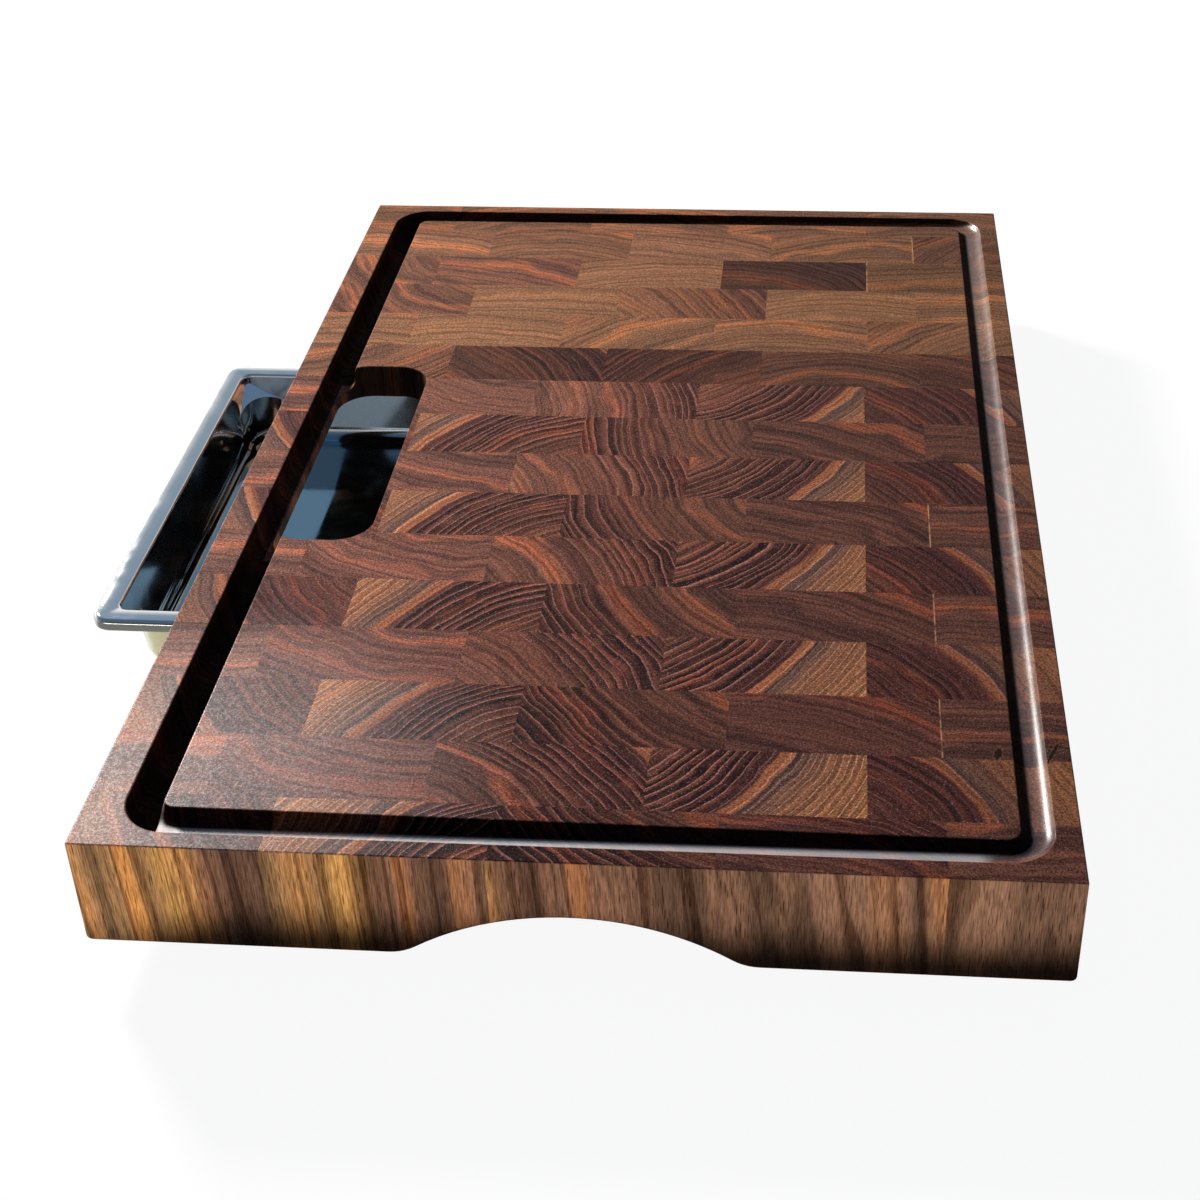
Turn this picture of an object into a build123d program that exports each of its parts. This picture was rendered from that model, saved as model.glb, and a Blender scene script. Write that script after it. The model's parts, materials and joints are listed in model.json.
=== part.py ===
from build123d import *
import os
from math import cos, radians, sin, sqrt, tan

# End-grain butcher block cutting board with a juice groove, a chute slot and a steel drip pan.
# The pan hangs by its rim on two wooden runners under the board and slides out to the left.
# Millimetres. X runs across the board to the right, Y away from the near edge, Z up.
# The origin is on the table, under the middle of the whole object with the pan part way out.

os.makedirs("parts", exist_ok=True)

# Board
board_width = 381.0
board_length = 609.6
board_thickness = 50.8
bottom_round = 4.0
corner_round = 1.0
top_round = 0.8

# End-grain blocks, glued into strips that run across the board.
# Every second strip is turned end for end, and the far strips come from a second panel.
near_strip = 32.0
strip_pitch = 38.6
near_panel_strips = 10
near_panel_block = 85.4
near_panel_first = 74.5
near_panel_first_turned = 45.0
far_panel_block = 83.4
far_panel_first = 80.0
far_panel_first_turned = 53.0
glue_line = 0.1

# Juice groove, whose floor falls to the left, where a deeper gutter in it leads to the chute slot
groove_border = 8.8
groove_border_left = 15.8
groove_width = 15.0
groove_floor_flat = 0.2
groove_depth_left = 6.2
groove_depth_right = 3.6
gutter_width = 13.0
gutter_depth = 12.5
gutter_floor_round = 6.0
island_corner = 5.0

# Chute slot, which cuts into the gutter
slot_left = 22.0
slot_width = 49.5
slot_length = 174.0
slot_corner = 18.0
slot_edge_round = 0.4
slot_roof = 18.0

# Finger arches in the near and far bottom edges
arch_radius = 110.0
arch_height = 21.5
arch_end_radius = 20.0
arch_depth = 30.0

# Drip pan
rim_width = 160.0
rim_length = 254.0
rim_corner = 10.0
rim_round = 2.4
rim_below_top = 22.0
rim_lip = 5.0
flange_width = 11.0
sheet = 0.9
mouth_corner = 5.0
mouth_round = 1.6
well_corner = 24.0
well_draft = 6.0
well_floor_round = 8.0
pan_height = 38.0
facet_start = 3.0
facet_angle = 35.0
pan_out = 52.5

# Pan channel and the runners in it
rim_side_clearance = 2.0
pan_end_clearance = 2.5
well_side_clearance = 1.2
rim_ride_clearance = 0.3
channel_corner = 6.0
runner_setback = 2.0
runner_chamfer = 1.5

# Runner screws
runner_screw_count = 3
runner_screw_inset = 18.0
runner_screw_radius = 1.75
runner_screw_head_radius = 3.5
runner_screw_length = 25.0

# Feet, their washers and their screws
foot_height = 16.0
foot_top_radius = 13.0
foot_bottom_radius = 11.5
foot_round = 1.5
foot_inset_x = 30.0
foot_inset_y = 45.0
foot_bore_radius = 2.3
foot_recess_radius = 6.0
foot_recess_depth = 9.0
washer_radius = 5.6
washer_thickness = 1.2
foot_screw_radius = 2.0
foot_screw_head_radius = 4.2
foot_screw_head_height = 2.6
foot_screw_bite = 16.0

# Common to the screws and cuts
pilot_clearance = 0.05
screw_point_length = 3.0
screw_tip_radius = 0.3
drive_width_share = 0.25
drive_reach_share = 1.2
drive_depth_share = 0.35
countersink_angle = 90.0
overrun = 5.0

# Places that follow from the sizes
underside = foot_height
top = underside + board_thickness
board_x = pan_out / 2
left = board_x - board_width / 2
right = board_x + board_width / 2
near = -board_length / 2
far = board_length / 2
rim_top = top - rim_below_top
pan_x = left - pan_out + rim_width / 2
mouth_width = rim_width - 2 * flange_width
mouth_length = rim_length - 2 * flange_width
channel_length = rim_width + pan_end_clearance
channel_half = rim_length / 2 + rim_side_clearance
runner_width = channel_half - mouth_length / 2 - sheet - well_side_clearance
runner_height = rim_top - rim_lip - rim_ride_clearance - underside
runner_length = channel_length - runner_setback - channel_corner
runner_x = left + runner_setback + runner_length / 2
runner_z = underside + runner_height / 2
runner_screw_pitch = (runner_length - 2 * runner_screw_inset) / (runner_screw_count - 1)
foot_spacing_x = board_width - 2 * foot_inset_x
foot_spacing_y = board_length - 2 * foot_inset_y
foot_face = Plane(origin=(board_x, 0, underside), x_dir=(1, 0, 0), z_dir=(0, 0, -1))
washer_top = foot_recess_depth - foot_height


def wall_plane(side, offset):
    """A plane beside the channel's near (-1) or far (1) wall, that far into the channel, facing its middle."""
    place = (runner_x, side * (channel_half - offset), runner_z)
    return Plane(origin=place, x_dir=(1, 0, 0), z_dir=(0, -side, 0))


# Finger arches: a shallow arc whose ends flow into the underside, cut in from both ends of the board
arch_drop = arch_radius - arch_height
arch_half = sqrt((arch_radius + arch_end_radius) ** 2 - (arch_drop + arch_end_radius) ** 2)
arch_touch_share = arch_radius / (arch_radius + arch_end_radius)
arch_touch_x = arch_half * arch_touch_share
arch_touch_z = (arch_drop + arch_end_radius) * arch_touch_share - arch_drop

with BuildPart() as finger_arches:
    with BuildSketch(Plane(origin=(board_x, near, underside), x_dir=(1, 0, 0), z_dir=(0, -1, 0))):
        with BuildLine():
            TangentArc((arch_half, 0), (arch_touch_x, arch_touch_z), tangent=(-1, 0))
            ThreePointArc((arch_touch_x, arch_touch_z), (0, arch_height), (-arch_touch_x, arch_touch_z))
            TangentArc((-arch_half, 0), (-arch_touch_x, arch_touch_z), tangent=(1, 0))
            Polyline((-arch_half, 0), (-arch_half, -overrun), (arch_half, -overrun), (arch_half, 0))
        make_face()
    extrude(amount=-arch_depth)
    mirror(about=Plane.XZ)

# The groove runs round the cutting face on a floor that slopes, and the gutter is sunk into its left run
groove_outer_width = board_width - groove_border_left - groove_border
groove_outer_length = board_length - 2 * groove_border
groove_corner = island_corner + groove_width
groove_left = left + groove_border_left
groove_right = right - groove_border
groove_plane = Plane(origin=((groove_left + groove_right) / 2, 0, top + overrun))
gutter_inset = (groove_width - gutter_width) / 2
gutter_outer_width = groove_outer_width - 2 * gutter_inset
gutter_outer_length = groove_outer_length - 2 * gutter_inset

with BuildPart() as groove:
    with BuildSketch(groove_plane):
        RectangleRounded(groove_outer_width, groove_outer_length, groove_corner)
        RectangleRounded(
            groove_outer_width - 2 * groove_width,
            groove_outer_length - 2 * groove_width,
            island_corner,
            mode=Mode.SUBTRACT,
        )
    extrude(amount=-(gutter_depth + overrun))
    with BuildSketch(Plane.XZ):
        with BuildLine():
            Polyline(
                (groove_left, top - groove_depth_left),
                (groove_right, top - groove_depth_right),
                (groove_right, top - gutter_depth - overrun),
                (groove_left, top - gutter_depth - overrun),
                close=True,
            )
        make_face()
    extrude(amount=groove_outer_length, both=True, mode=Mode.SUBTRACT)
    fillet(groove.faces().sort_by(Axis.Z)[0].edges(), radius=(groove_width - groove_floor_flat) / 2)

with BuildPart() as gutter:
    with BuildSketch(groove_plane):
        RectangleRounded(gutter_outer_width, gutter_outer_length, groove_corner - gutter_inset)
        with Locations((gutter_width, 0)):
            Rectangle(gutter_outer_width, gutter_outer_length, mode=Mode.SUBTRACT)
    extrude(amount=-(gutter_depth + overrun))
    fillet(gutter.faces().sort_by(Axis.Z)[0].edges(), radius=gutter_floor_round)

# The whole board as one form with every cut in it. Each block takes its share of this form.
channel_cut = channel_length + channel_corner + overrun

with BuildPart() as board_form:
    with BuildSketch(Plane(origin=(board_x, 0, underside))):
        Rectangle(board_width, board_length)
    extrude(amount=board_thickness)
    fillet(board_form.edges().filter_by(Axis.Z), radius=corner_round)
    add(finger_arches.part, mode=Mode.SUBTRACT)
    sides = board_form.faces().sort_by(Axis.X)
    ends = board_form.faces().sort_by(Axis.Y)
    rounded = ShapeList([sides[0].edges().sort_by(Axis.Z)[0], sides[-1].edges().sort_by(Axis.Z)[0]])
    for end in (ends[0], ends[-1]):
        rounded += end.edges().filter_by(Axis.Z, reverse=True).sort_by(Axis.Z)[:-1]
    fillet(rounded, radius=bottom_round)
    add(groove.part, mode=Mode.SUBTRACT)
    add(gutter.part, mode=Mode.SUBTRACT)
    cutting_faces = board_form.faces().filter_by(Axis.Z).group_by(Axis.Z)[-1]
    fillet(cutting_faces.edges(), radius=top_round)
    with BuildSketch(Plane(origin=(left + slot_left + slot_width / 2, 0, top))):
        RectangleRounded(slot_width, slot_length, slot_corner)
    extrude(amount=-(slot_roof + overrun), mode=Mode.SUBTRACT)
    island = board_form.faces().filter_by(Axis.Z).group_by(Axis.Z)[-1].sort_by(SortBy.AREA)[-1]
    slot_edges = island.edges().filter_by_position(Axis.Y, -slot_length / 2, slot_length / 2)
    fillet(slot_edges.filter_by_position(Axis.X, left, left + slot_left + slot_width), radius=slot_edge_round)
    with BuildSketch(Plane(origin=(left + channel_length - channel_cut / 2, 0, top - slot_roof))):
        RectangleRounded(channel_cut, 2 * channel_half, channel_corner)
    extrude(amount=-(board_thickness - slot_roof + overrun), mode=Mode.SUBTRACT)
    with Locations(wall_plane(-1, 0), wall_plane(1, 0)):
        with GridLocations(runner_screw_pitch, runner_screw_pitch, runner_screw_count, 1):
            Hole(radius=runner_screw_radius + pilot_clearance, depth=runner_screw_length - runner_width)
    with Locations(foot_face):
        with GridLocations(foot_spacing_x, foot_spacing_y, 2, 2):
            Hole(radius=foot_screw_radius + pilot_clearance, depth=foot_screw_bite + pilot_clearance)


def joints_across(first, pitch):
    """Where the blocks of one strip meet: the board's two sides, and every joint between them."""
    count = round((board_width - first) / pitch)
    inner = [left + first + k * pitch for k in range(count)]
    return [left - overrun, *inner, right + overrun]


# Strips, counted from the near edge, each a row of separate end-grain blocks
strip_count = round((board_length - near_strip) / strip_pitch) + 1
strip_edges = [near - overrun, *[near + near_strip + k * strip_pitch for k in range(strip_count - 1)], far + overrun]

for index in range(strip_count):
    if index < near_panel_strips:
        firsts = (near_panel_first, near_panel_first_turned)
        pitch = near_panel_block
    else:
        firsts = (far_panel_first, far_panel_first_turned)
        pitch = far_panel_block
    block_edges = joints_across(firsts[index % 2], pitch)
    near_edge, far_edge = strip_edges[index : index + 2]
    with BuildPart() as strip:
        with BuildSketch(Plane.XY.offset(underside)):
            for block_left, block_right in zip(block_edges, block_edges[1:]):
                with Locations(((block_left + block_right) / 2, (near_edge + far_edge) / 2)):
                    Rectangle(block_right - block_left - glue_line, far_edge - near_edge - glue_line)
        extrude(amount=board_thickness)
        add(board_form.part, mode=Mode.INTERSECT)
    strip.part.label = f"strip_{index + 1:02d}"
    export_step(strip.part, f"parts/strip_{index + 1:02d}.step")

# Runners: walnut cleats on the channel's two walls, which carry the pan by its rim
for name, side in (("near_runner", -1), ("far_runner", 1)):
    with BuildPart() as runner:
        with BuildSketch(wall_plane(side, 0)):
            Rectangle(runner_length, runner_height)
        extrude(amount=runner_width)
        lead_in = runner.edges().filter_by(Axis.Y).group_by(Axis.X)[0]
        chamfer(lead_in, length=runner_chamfer)
        with Locations(wall_plane(side, runner_width)):
            with GridLocations(runner_screw_pitch, runner_screw_pitch, runner_screw_count, 1):
                CounterSinkHole(
                    radius=runner_screw_radius + pilot_clearance,
                    counter_sink_radius=runner_screw_head_radius + pilot_clearance,
                    depth=runner_width,
                    counter_sink_angle=countersink_angle,
                )
    runner.part.label = name
    export_step(runner.part, f"parts/{name}.step")


def drive_recess(head_radius):
    """Sketches the cross-shaped driver recess of a screw head."""
    Rectangle(drive_reach_share * head_radius, drive_width_share * head_radius)
    Rectangle(drive_width_share * head_radius, drive_reach_share * head_radius)


# Runner screws: countersunk wood screws, driven from inside the channel
head_drop = (runner_screw_head_radius - runner_screw_radius) / tan(radians(countersink_angle / 2))
shank_end = runner_screw_length - screw_point_length

with BuildPart() as runner_screw:
    with BuildSketch(Plane.XZ):
        with BuildLine():
            Polyline(
                (0, 0),
                (runner_screw_head_radius, 0),
                (runner_screw_radius, -head_drop),
                (runner_screw_radius, -shank_end),
                (screw_tip_radius, -runner_screw_length + pilot_clearance),
                (0, -runner_screw_length + pilot_clearance),
                close=True,
            )
        make_face()
    revolve(axis=Axis.Z)
    with BuildSketch():
        drive_recess(runner_screw_head_radius)
    extrude(amount=-drive_depth_share * runner_screw_head_radius, mode=Mode.SUBTRACT)

with BuildPart() as runner_screws:
    with Locations(wall_plane(-1, runner_width), wall_plane(1, runner_width)):
        with GridLocations(runner_screw_pitch, runner_screw_pitch, runner_screw_count, 1):
            add(runner_screw.part)
runner_screws.part.label = "runner_screws"
export_step(runner_screws.part, "parts/runner_screws.step")

# Feet: tapered rubber, bored for a screw whose head hides in a recess
foot_places = {
    "near_left_foot": (left + foot_inset_x, near + foot_inset_y),
    "near_right_foot": (right - foot_inset_x, near + foot_inset_y),
    "far_left_foot": (left + foot_inset_x, far - foot_inset_y),
    "far_right_foot": (right - foot_inset_x, far - foot_inset_y),
}

for name, (foot_x, foot_y) in foot_places.items():
    with BuildPart() as foot:
        with BuildSketch(Plane(origin=(foot_x, foot_y, underside), x_dir=(1, 0, 0), z_dir=(0, -1, 0))):
            with BuildLine():
                Polyline(
                    (foot_bore_radius, 0),
                    (foot_top_radius, 0),
                    (foot_bottom_radius, -foot_height),
                    (foot_recess_radius, -foot_height),
                    (foot_recess_radius, washer_top),
                    (foot_bore_radius, washer_top),
                    close=True,
                )
            make_face()
        revolve(axis=Axis((foot_x, foot_y, 0), (0, 0, 1)))
        fillet(foot.edges().group_by(Axis.Z)[0], radius=foot_round)
    foot.part.label = name
    export_step(foot.part, f"parts/{name}.step")

# Foot washers and screws, one of each in every foot
with BuildPart() as foot_washers:
    with BuildSketch(Plane(origin=(board_x, 0, underside + washer_top))):
        with GridLocations(foot_spacing_x, foot_spacing_y, 2, 2):
            Circle(washer_radius)
            Circle(foot_bore_radius, mode=Mode.SUBTRACT)
    extrude(amount=-washer_thickness)
foot_washers.part.label = "foot_washers"
export_step(foot_washers.part, "parts/foot_washers.step")

head_top = washer_top - washer_thickness

with BuildPart() as foot_screw:
    with BuildSketch(Plane.XZ):
        with BuildLine():
            Polyline(
                (0, head_top - foot_screw_head_height),
                (foot_screw_head_radius, head_top - foot_screw_head_height),
                (foot_screw_head_radius, head_top),
                (foot_screw_radius, head_top),
                (foot_screw_radius, foot_screw_bite - screw_point_length),
                (screw_tip_radius, foot_screw_bite),
                (0, foot_screw_bite),
                close=True,
            )
        make_face()
    revolve(axis=Axis.Z)
    fillet(foot_screw.edges().group_by(Axis.Z)[0], radius=foot_screw_head_height / 2)
    with BuildSketch(Plane.XY.offset(head_top - foot_screw_head_height)):
        drive_recess(foot_screw_head_radius)
    extrude(amount=drive_depth_share * foot_screw_head_radius, mode=Mode.SUBTRACT)

with BuildPart() as foot_screws:
    with Locations((board_x, 0, underside)):
        with GridLocations(foot_spacing_x, foot_spacing_y, 2, 2):
            add(foot_screw.part)
foot_screws.part.label = "foot_screws"
export_step(foot_screws.part, "parts/foot_screws.step")

# Drip pan: a drawn steel pan with a turned-down rim. Its mouth has square corners and its well round ones,
# so a sloping facet fills the difference at each corner.
facet_reach = facet_start + well_corner * tan(radians(facet_angle))


def well(skin):
    """The pan's well, from the rim down to its floor, grown by skin on every side."""
    with BuildPart() as form:
        with BuildSketch(Plane(origin=(pan_x, 0, rim_top))):
            RectangleRounded(mouth_width + 2 * skin, mouth_length + 2 * skin, well_corner + skin)
        extrude(amount=-(pan_height - sheet + skin), taper=well_draft)
        fillet(form.faces().sort_by(Axis.Z)[0].edges(), radius=well_floor_round + skin)
    return form.part


def mouth(skin):
    """The square-cornered upper part of the well, with a sloping facet at each corner, grown by skin."""
    slope = radians(facet_angle)
    with BuildPart() as form:
        with BuildSketch(Plane(origin=(pan_x, 0, rim_top))):
            RectangleRounded(mouth_width + 2 * skin, mouth_length + 2 * skin, mouth_corner + skin)
        extrude(amount=-(facet_reach + skin), taper=well_draft)
        for side_x in (-1, 1):
            for side_y in (-1, 1):
                corner = (pan_x + side_x * mouth_width / 2, side_y * mouth_length / 2, rim_top - facet_start)
                uphill = (-side_x * sin(slope) / sqrt(2), -side_y * sin(slope) / sqrt(2), cos(slope))
                split(bisect_by=Plane(origin=corner, z_dir=uphill).offset(-skin), keep=Keep.TOP)
    return form.part


with BuildPart() as drip_pan:
    with BuildSketch(Plane(origin=(pan_x, 0, rim_top))):
        RectangleRounded(rim_width, rim_length, rim_corner)
    extrude(amount=-rim_lip)
    fillet(drip_pan.faces().sort_by(Axis.Z)[-1].edges(), radius=rim_round)
    with BuildSketch(Plane(origin=(pan_x, 0, rim_top - sheet))):
        RectangleRounded(rim_width - 2 * sheet, rim_length - 2 * sheet, rim_corner - sheet)
    extrude(amount=-rim_lip, mode=Mode.SUBTRACT)
    fillet(drip_pan.faces().filter_by(Axis.Z).sort_by(Axis.Z)[-2].edges(), radius=rim_round - sheet)
    add(well(sheet))
    add(mouth(sheet))
    add(well(0), mode=Mode.SUBTRACT)
    add(mouth(0), mode=Mode.SUBTRACT)
    flange = drip_pan.faces().filter_by(Axis.Z).sort_by(Axis.Z)[-1]
    fillet(flange.inner_wires().edges(), radius=mouth_round)
drip_pan.part.label = "drip_pan"
export_step(drip_pan.part, "parts/drip_pan.step")
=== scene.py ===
# %% [markdown]
# # A walnut butcher block with a drip pan
# This lesson dresses a cutting board: sixteen strips of end-grain walnut with a juice groove, a chute slot
# and a polished steel pan that slides out underneath. The frame holds every solid at its real size and
# place, so the lesson never moves or scales one. It gives each piece its surface, and makes the screws and
# washers anew. The wood's own places and sizes are in millimetres, those of lamps and floor in metres.

# %% Load the frame
import json
import random
from collections import namedtuple
from math import pi, radians

import bpy
from mathutils import Euler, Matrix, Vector

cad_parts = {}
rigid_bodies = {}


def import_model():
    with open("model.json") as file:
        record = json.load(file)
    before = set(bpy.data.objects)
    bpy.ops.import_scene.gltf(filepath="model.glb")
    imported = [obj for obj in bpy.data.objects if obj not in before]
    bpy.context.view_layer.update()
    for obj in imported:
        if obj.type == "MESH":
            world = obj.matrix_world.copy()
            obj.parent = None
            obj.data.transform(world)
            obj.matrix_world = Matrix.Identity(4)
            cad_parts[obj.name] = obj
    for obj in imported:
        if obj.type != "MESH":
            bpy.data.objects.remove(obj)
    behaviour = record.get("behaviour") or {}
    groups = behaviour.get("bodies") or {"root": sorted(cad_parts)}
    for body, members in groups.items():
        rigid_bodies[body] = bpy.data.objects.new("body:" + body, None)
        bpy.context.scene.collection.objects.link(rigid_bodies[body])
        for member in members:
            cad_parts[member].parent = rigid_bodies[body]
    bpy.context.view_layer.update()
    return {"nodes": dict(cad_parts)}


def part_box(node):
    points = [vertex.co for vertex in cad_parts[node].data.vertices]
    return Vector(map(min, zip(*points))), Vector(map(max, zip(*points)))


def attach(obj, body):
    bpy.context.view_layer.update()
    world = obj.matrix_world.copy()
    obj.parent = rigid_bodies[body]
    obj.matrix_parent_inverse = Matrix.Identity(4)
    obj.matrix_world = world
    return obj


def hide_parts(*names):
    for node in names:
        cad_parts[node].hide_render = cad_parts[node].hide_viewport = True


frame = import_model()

scene = bpy.context.scene
MM = 0.001
strip_names = sorted(name for name in frame["nodes"] if name.startswith("strip_"))
board_low = Vector([min(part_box(name)[0][axis] for name in strip_names) for axis in range(3)]) / MM
board_high = Vector([max(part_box(name)[1][axis] for name in strip_names) for axis in range(3)]) / MM
print("board:", [round(v, 1) for v in board_high - board_low], "mm, its top at", round(board_high.z, 1))

# %% [markdown]
# ## Camera
# The photograph looks down at the near end of the board from a little right of its middle. A perspective
# fit to the board's corners and its even rows of blocks gave the place, the turn and the lens. A tracked
# camera would be quicker to set up, but it always stands upright, and this one leans by a degree.

# %% Place the camera
CAMERA_PLACE = Vector((115.2, -861.7, 560.2)) * MM
CAMERA_TURN = Euler((radians(56.08), radians(1.16), radians(4.68)))
CAMERA_LENS = 60.4
CAMERA_SENSOR = 36
CAMERA_SHIFT = (-0.047, 0.002)

camera_data = bpy.data.cameras.new("photo_camera")
camera_data.lens = CAMERA_LENS
camera_data.sensor_width = CAMERA_SENSOR
camera_data.shift_x, camera_data.shift_y = CAMERA_SHIFT
camera_data.clip_start = 0.01
camera = bpy.data.objects.new("photo_camera", camera_data)
camera.location = CAMERA_PLACE
camera.rotation_euler = CAMERA_TURN
scene.collection.objects.link(camera)
scene.camera = camera
print("camera:", [round(v, 3) for v in camera.location], "lens", CAMERA_LENS, "mm")

# %% [markdown]
# ## Lamps
# The photograph was taken in low sunlight from behind and to the left: the walls of the groove that face the
# viewer are black, and the far right corner of the groove gleams. One big soft lamp from there gives the same
# shadows. A Sun lamp could do that too, but its edge of shadow is set by an angle and not by a size that can
# be pictured. The front of the board is lit by the ground before it, so a long low lamp stands there, lower
# than the cutting face, and no light from it falls into the groove.

# %% Place the lamps
SUN_TOWARDS = Vector((-0.60, 0.60, 0.52)).normalized()
SUN_DISTANCE = 2.6
SUN_SIZE = 0.45
SUN_POWER = 135
SUN_COLOUR = (1.0, 0.97, 0.93)
GROUND_LIGHT_PLACE = Vector((-0.25, -1.35, 0.032))
GROUND_LIGHT_WIDE, GROUND_LIGHT_HIGH = 2.0, 0.05
GROUND_LIGHT_POWER = 10.5
GROUND_LIGHT_COLOUR = (1.0, 0.95, 0.86)


def soft_lamp(name, place, towards, size, power, colour, height=None):
    """A round lamp that shines at a point, or an upright strip where a height is given."""
    lamp_data = bpy.data.lights.new(name, "AREA")
    lamp_data.shape = "RECTANGLE" if height else "DISK"
    lamp_data.size = size
    lamp_data.size_y = height or size
    lamp_data.energy = power
    lamp_data.color = colour
    lamp = bpy.data.objects.new(name, lamp_data)
    lamp.location = place
    lamp.rotation_euler = (towards - lamp.location).to_track_quat("-Z", "Y").to_euler()
    scene.collection.objects.link(lamp)


soft_lamp("low_sun", SUN_TOWARDS * SUN_DISTANCE, Vector((0, 0, 0)), SUN_SIZE, SUN_POWER, SUN_COLOUR)
straight_on = Vector((GROUND_LIGHT_PLACE.x, 0, GROUND_LIGHT_PLACE.z))
soft_lamp("lit_ground", GROUND_LIGHT_PLACE, straight_on, GROUND_LIGHT_WIDE, GROUND_LIGHT_POWER,
          GROUND_LIGHT_COLOUR, GROUND_LIGHT_HIGH)
print("lamps: sun at", [round(v, 2) for v in SUN_TOWARDS * SUN_DISTANCE], "and a strip before the board")

# %% [markdown]
# ## Small helpers for nodes
# The sky and every finish below are little networks of nodes. They could be joined by hand in the editor. In
# a script, a few helpers that add one node, feed its inputs with numbers or with other nodes, and hand back
# what it puts out let a finish read like a recipe from top to bottom.


# %% Node helpers
def feed(tree, socket, value):
    """Gives an input a plain value, or joins it to the output of another node."""
    if isinstance(value, bpy.types.NodeSocket):
        tree.links.new(value, socket)
    else:
        socket.default_value = value


def feed_all(tree, node, **inputs):
    """Feeds inputs by name; underscores stand for the spaces in their names."""
    for name, value in inputs.items():
        feed(tree, node.inputs[name.replace("_", " ")], value)


def put(tree, kind, feeds=None, **settings):
    """Adds a node, sets its properties and feeds its inputs."""
    node = tree.nodes.new(kind)
    for name, value in settings.items():
        setattr(node, name, value)
    for key, value in (feeds or {}).items():
        feed(tree, node.inputs[key], value)
    return node


def calc(tree, operation, *values):
    """One step of arithmetic."""
    return put(tree, "ShaderNodeMath", dict(enumerate(values)), operation=operation).outputs[0]


def rest_of(tree, share):
    """What a share leaves of one."""
    return calc(tree, "SUBTRACT", 1.0, share)


def part_of(tree, *values):
    """Several shares multiplied."""
    total = values[0]
    for value in values[1:]:
        total = calc(tree, "MULTIPLY", total, value)
    return total


def ease(tree, value, low, high, start=0.0, end=1.0):
    """Turns a value between low and high into a smooth change from start to end."""
    feeds = {"Value": value, "From Min": low, "From Max": high, "To Min": start, "To Max": end}
    return put(tree, "ShaderNodeMapRange", feeds, interpolation_type="SMOOTHSTEP").outputs["Result"]


def apart(tree, place):
    """The three numbers of a place or a direction."""
    return put(tree, "ShaderNodeSeparateXYZ", {0: place}).outputs


def together(tree, x=0.0, y=0.0, z=0.0):
    """A place or a direction from three numbers."""
    return put(tree, "ShaderNodeCombineXYZ", {0: x, 1: y, 2: z}).outputs[0]


def rgb(red, green, blue):
    return (red, green, blue, 1.0)


print("helpers:", ", ".join(made.__name__ for made in (feed, put, calc, part_of, ease, apart, together)))

# %% [markdown]
# ## Sky
# A polished pan is only as bright as what it mirrors, while oiled wood goes grey under a bright sky. So there
# are two skies: the wood gets a dim one, and what shines sees a brighter one behind the board. Each is a
# colour ramp from the horizon up. A picture of a real sky would bring its own sun, which could not be moved
# to where the shadows want it. The camera alone sees plain white.

# %% Two skies
SKY_FRONT, SKY_BEHIND = 0.34, 0.13
SKY_FROM_HORIZON = [
    (0.50, (0.66, 0.60, 0.52)),
    (0.55, (0.62, 0.64, 0.66)),
    (0.68, (0.30, 0.46, 0.72)),
    (1.00, (0.12, 0.26, 0.58)),
]
MIRRORED_FRONT, MIRRORED_BEHIND = 0.45, 1.00
MIRRORED_FROM_HORIZON = [
    (0.50, (0.90, 0.86, 0.78)),
    (0.60, (1.00, 1.00, 1.00)),
    (0.74, (0.29, 0.37, 0.44)),
    (1.00, (0.14, 0.25, 0.42)),
]
FRONT_TO_BEHIND = dict(low=-0.2, high=0.6)

world = bpy.data.worlds.new("sky")
world.use_nodes = True
scene.world = world
sky = world.node_tree
sky.nodes.clear()
looking = apart(sky, put(sky, "ShaderNodeTexCoord").outputs["Generated"])
from_below = calc(sky, "MULTIPLY_ADD", looking["Z"], 0.5, 0.5)


def ramp(tree, value, stops):
    """A colour ramp from a list of places and colours."""
    node = put(tree, "ShaderNodeValToRGB", {"Fac": value})
    elements = node.color_ramp.elements
    while len(elements) < len(stops):
        elements.new(1.0)
    for element, (place, colour) in zip(elements, stops):
        element.position = place
        element.color = colour
    return node.outputs["Color"]


def sky_light(stops, front, behind):
    """A sky with its own colours from the horizon up, and its own strength in front and behind."""
    colour = ramp(sky, from_below, [(place, rgb(*colour)) for place, colour in stops])
    strength = ease(sky, looking["Y"], **FRONT_TO_BEHIND, start=front, end=behind)
    return put(sky, "ShaderNodeBackground", {"Color": colour, "Strength": strength}).outputs[0]


on_wood = sky_light(SKY_FROM_HORIZON, SKY_FRONT, SKY_BEHIND)
in_mirrors = sky_light(MIRRORED_FROM_HORIZON, MIRRORED_FRONT, MIRRORED_BEHIND)
white = put(sky, "ShaderNodeBackground", {"Color": rgb(1, 1, 1), "Strength": 1.0}).outputs[0]
ray = put(sky, "ShaderNodeLightPath").outputs
shone = put(sky, "ShaderNodeMixShader", {0: ray["Is Glossy Ray"], 1: on_wood, 2: in_mirrors}).outputs[0]
seen = put(sky, "ShaderNodeMixShader", {0: ray["Is Camera Ray"], 1: shone, 2: white}).outputs[0]
put(sky, "ShaderNodeOutputWorld", {"Surface": seen})
print("sky:", len(sky.nodes), "nodes")

# %% [markdown]
# ## Floor
# The photograph shows the board on plain white. A floor that is lit to white would need so much light that
# the wood turns pale. So the camera sees mostly a glow, with a thin layer of real light on it that holds the
# board's shadow, and everything else sees a plain pale floor that throws light back.

# %% Floor
FLOOR_SIZE = 12.0
FLOOR_COLOUR, FLOOR_COLOUR_SEEN = 0.86, 0.08
FLOOR_GLOW = 0.925


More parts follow.
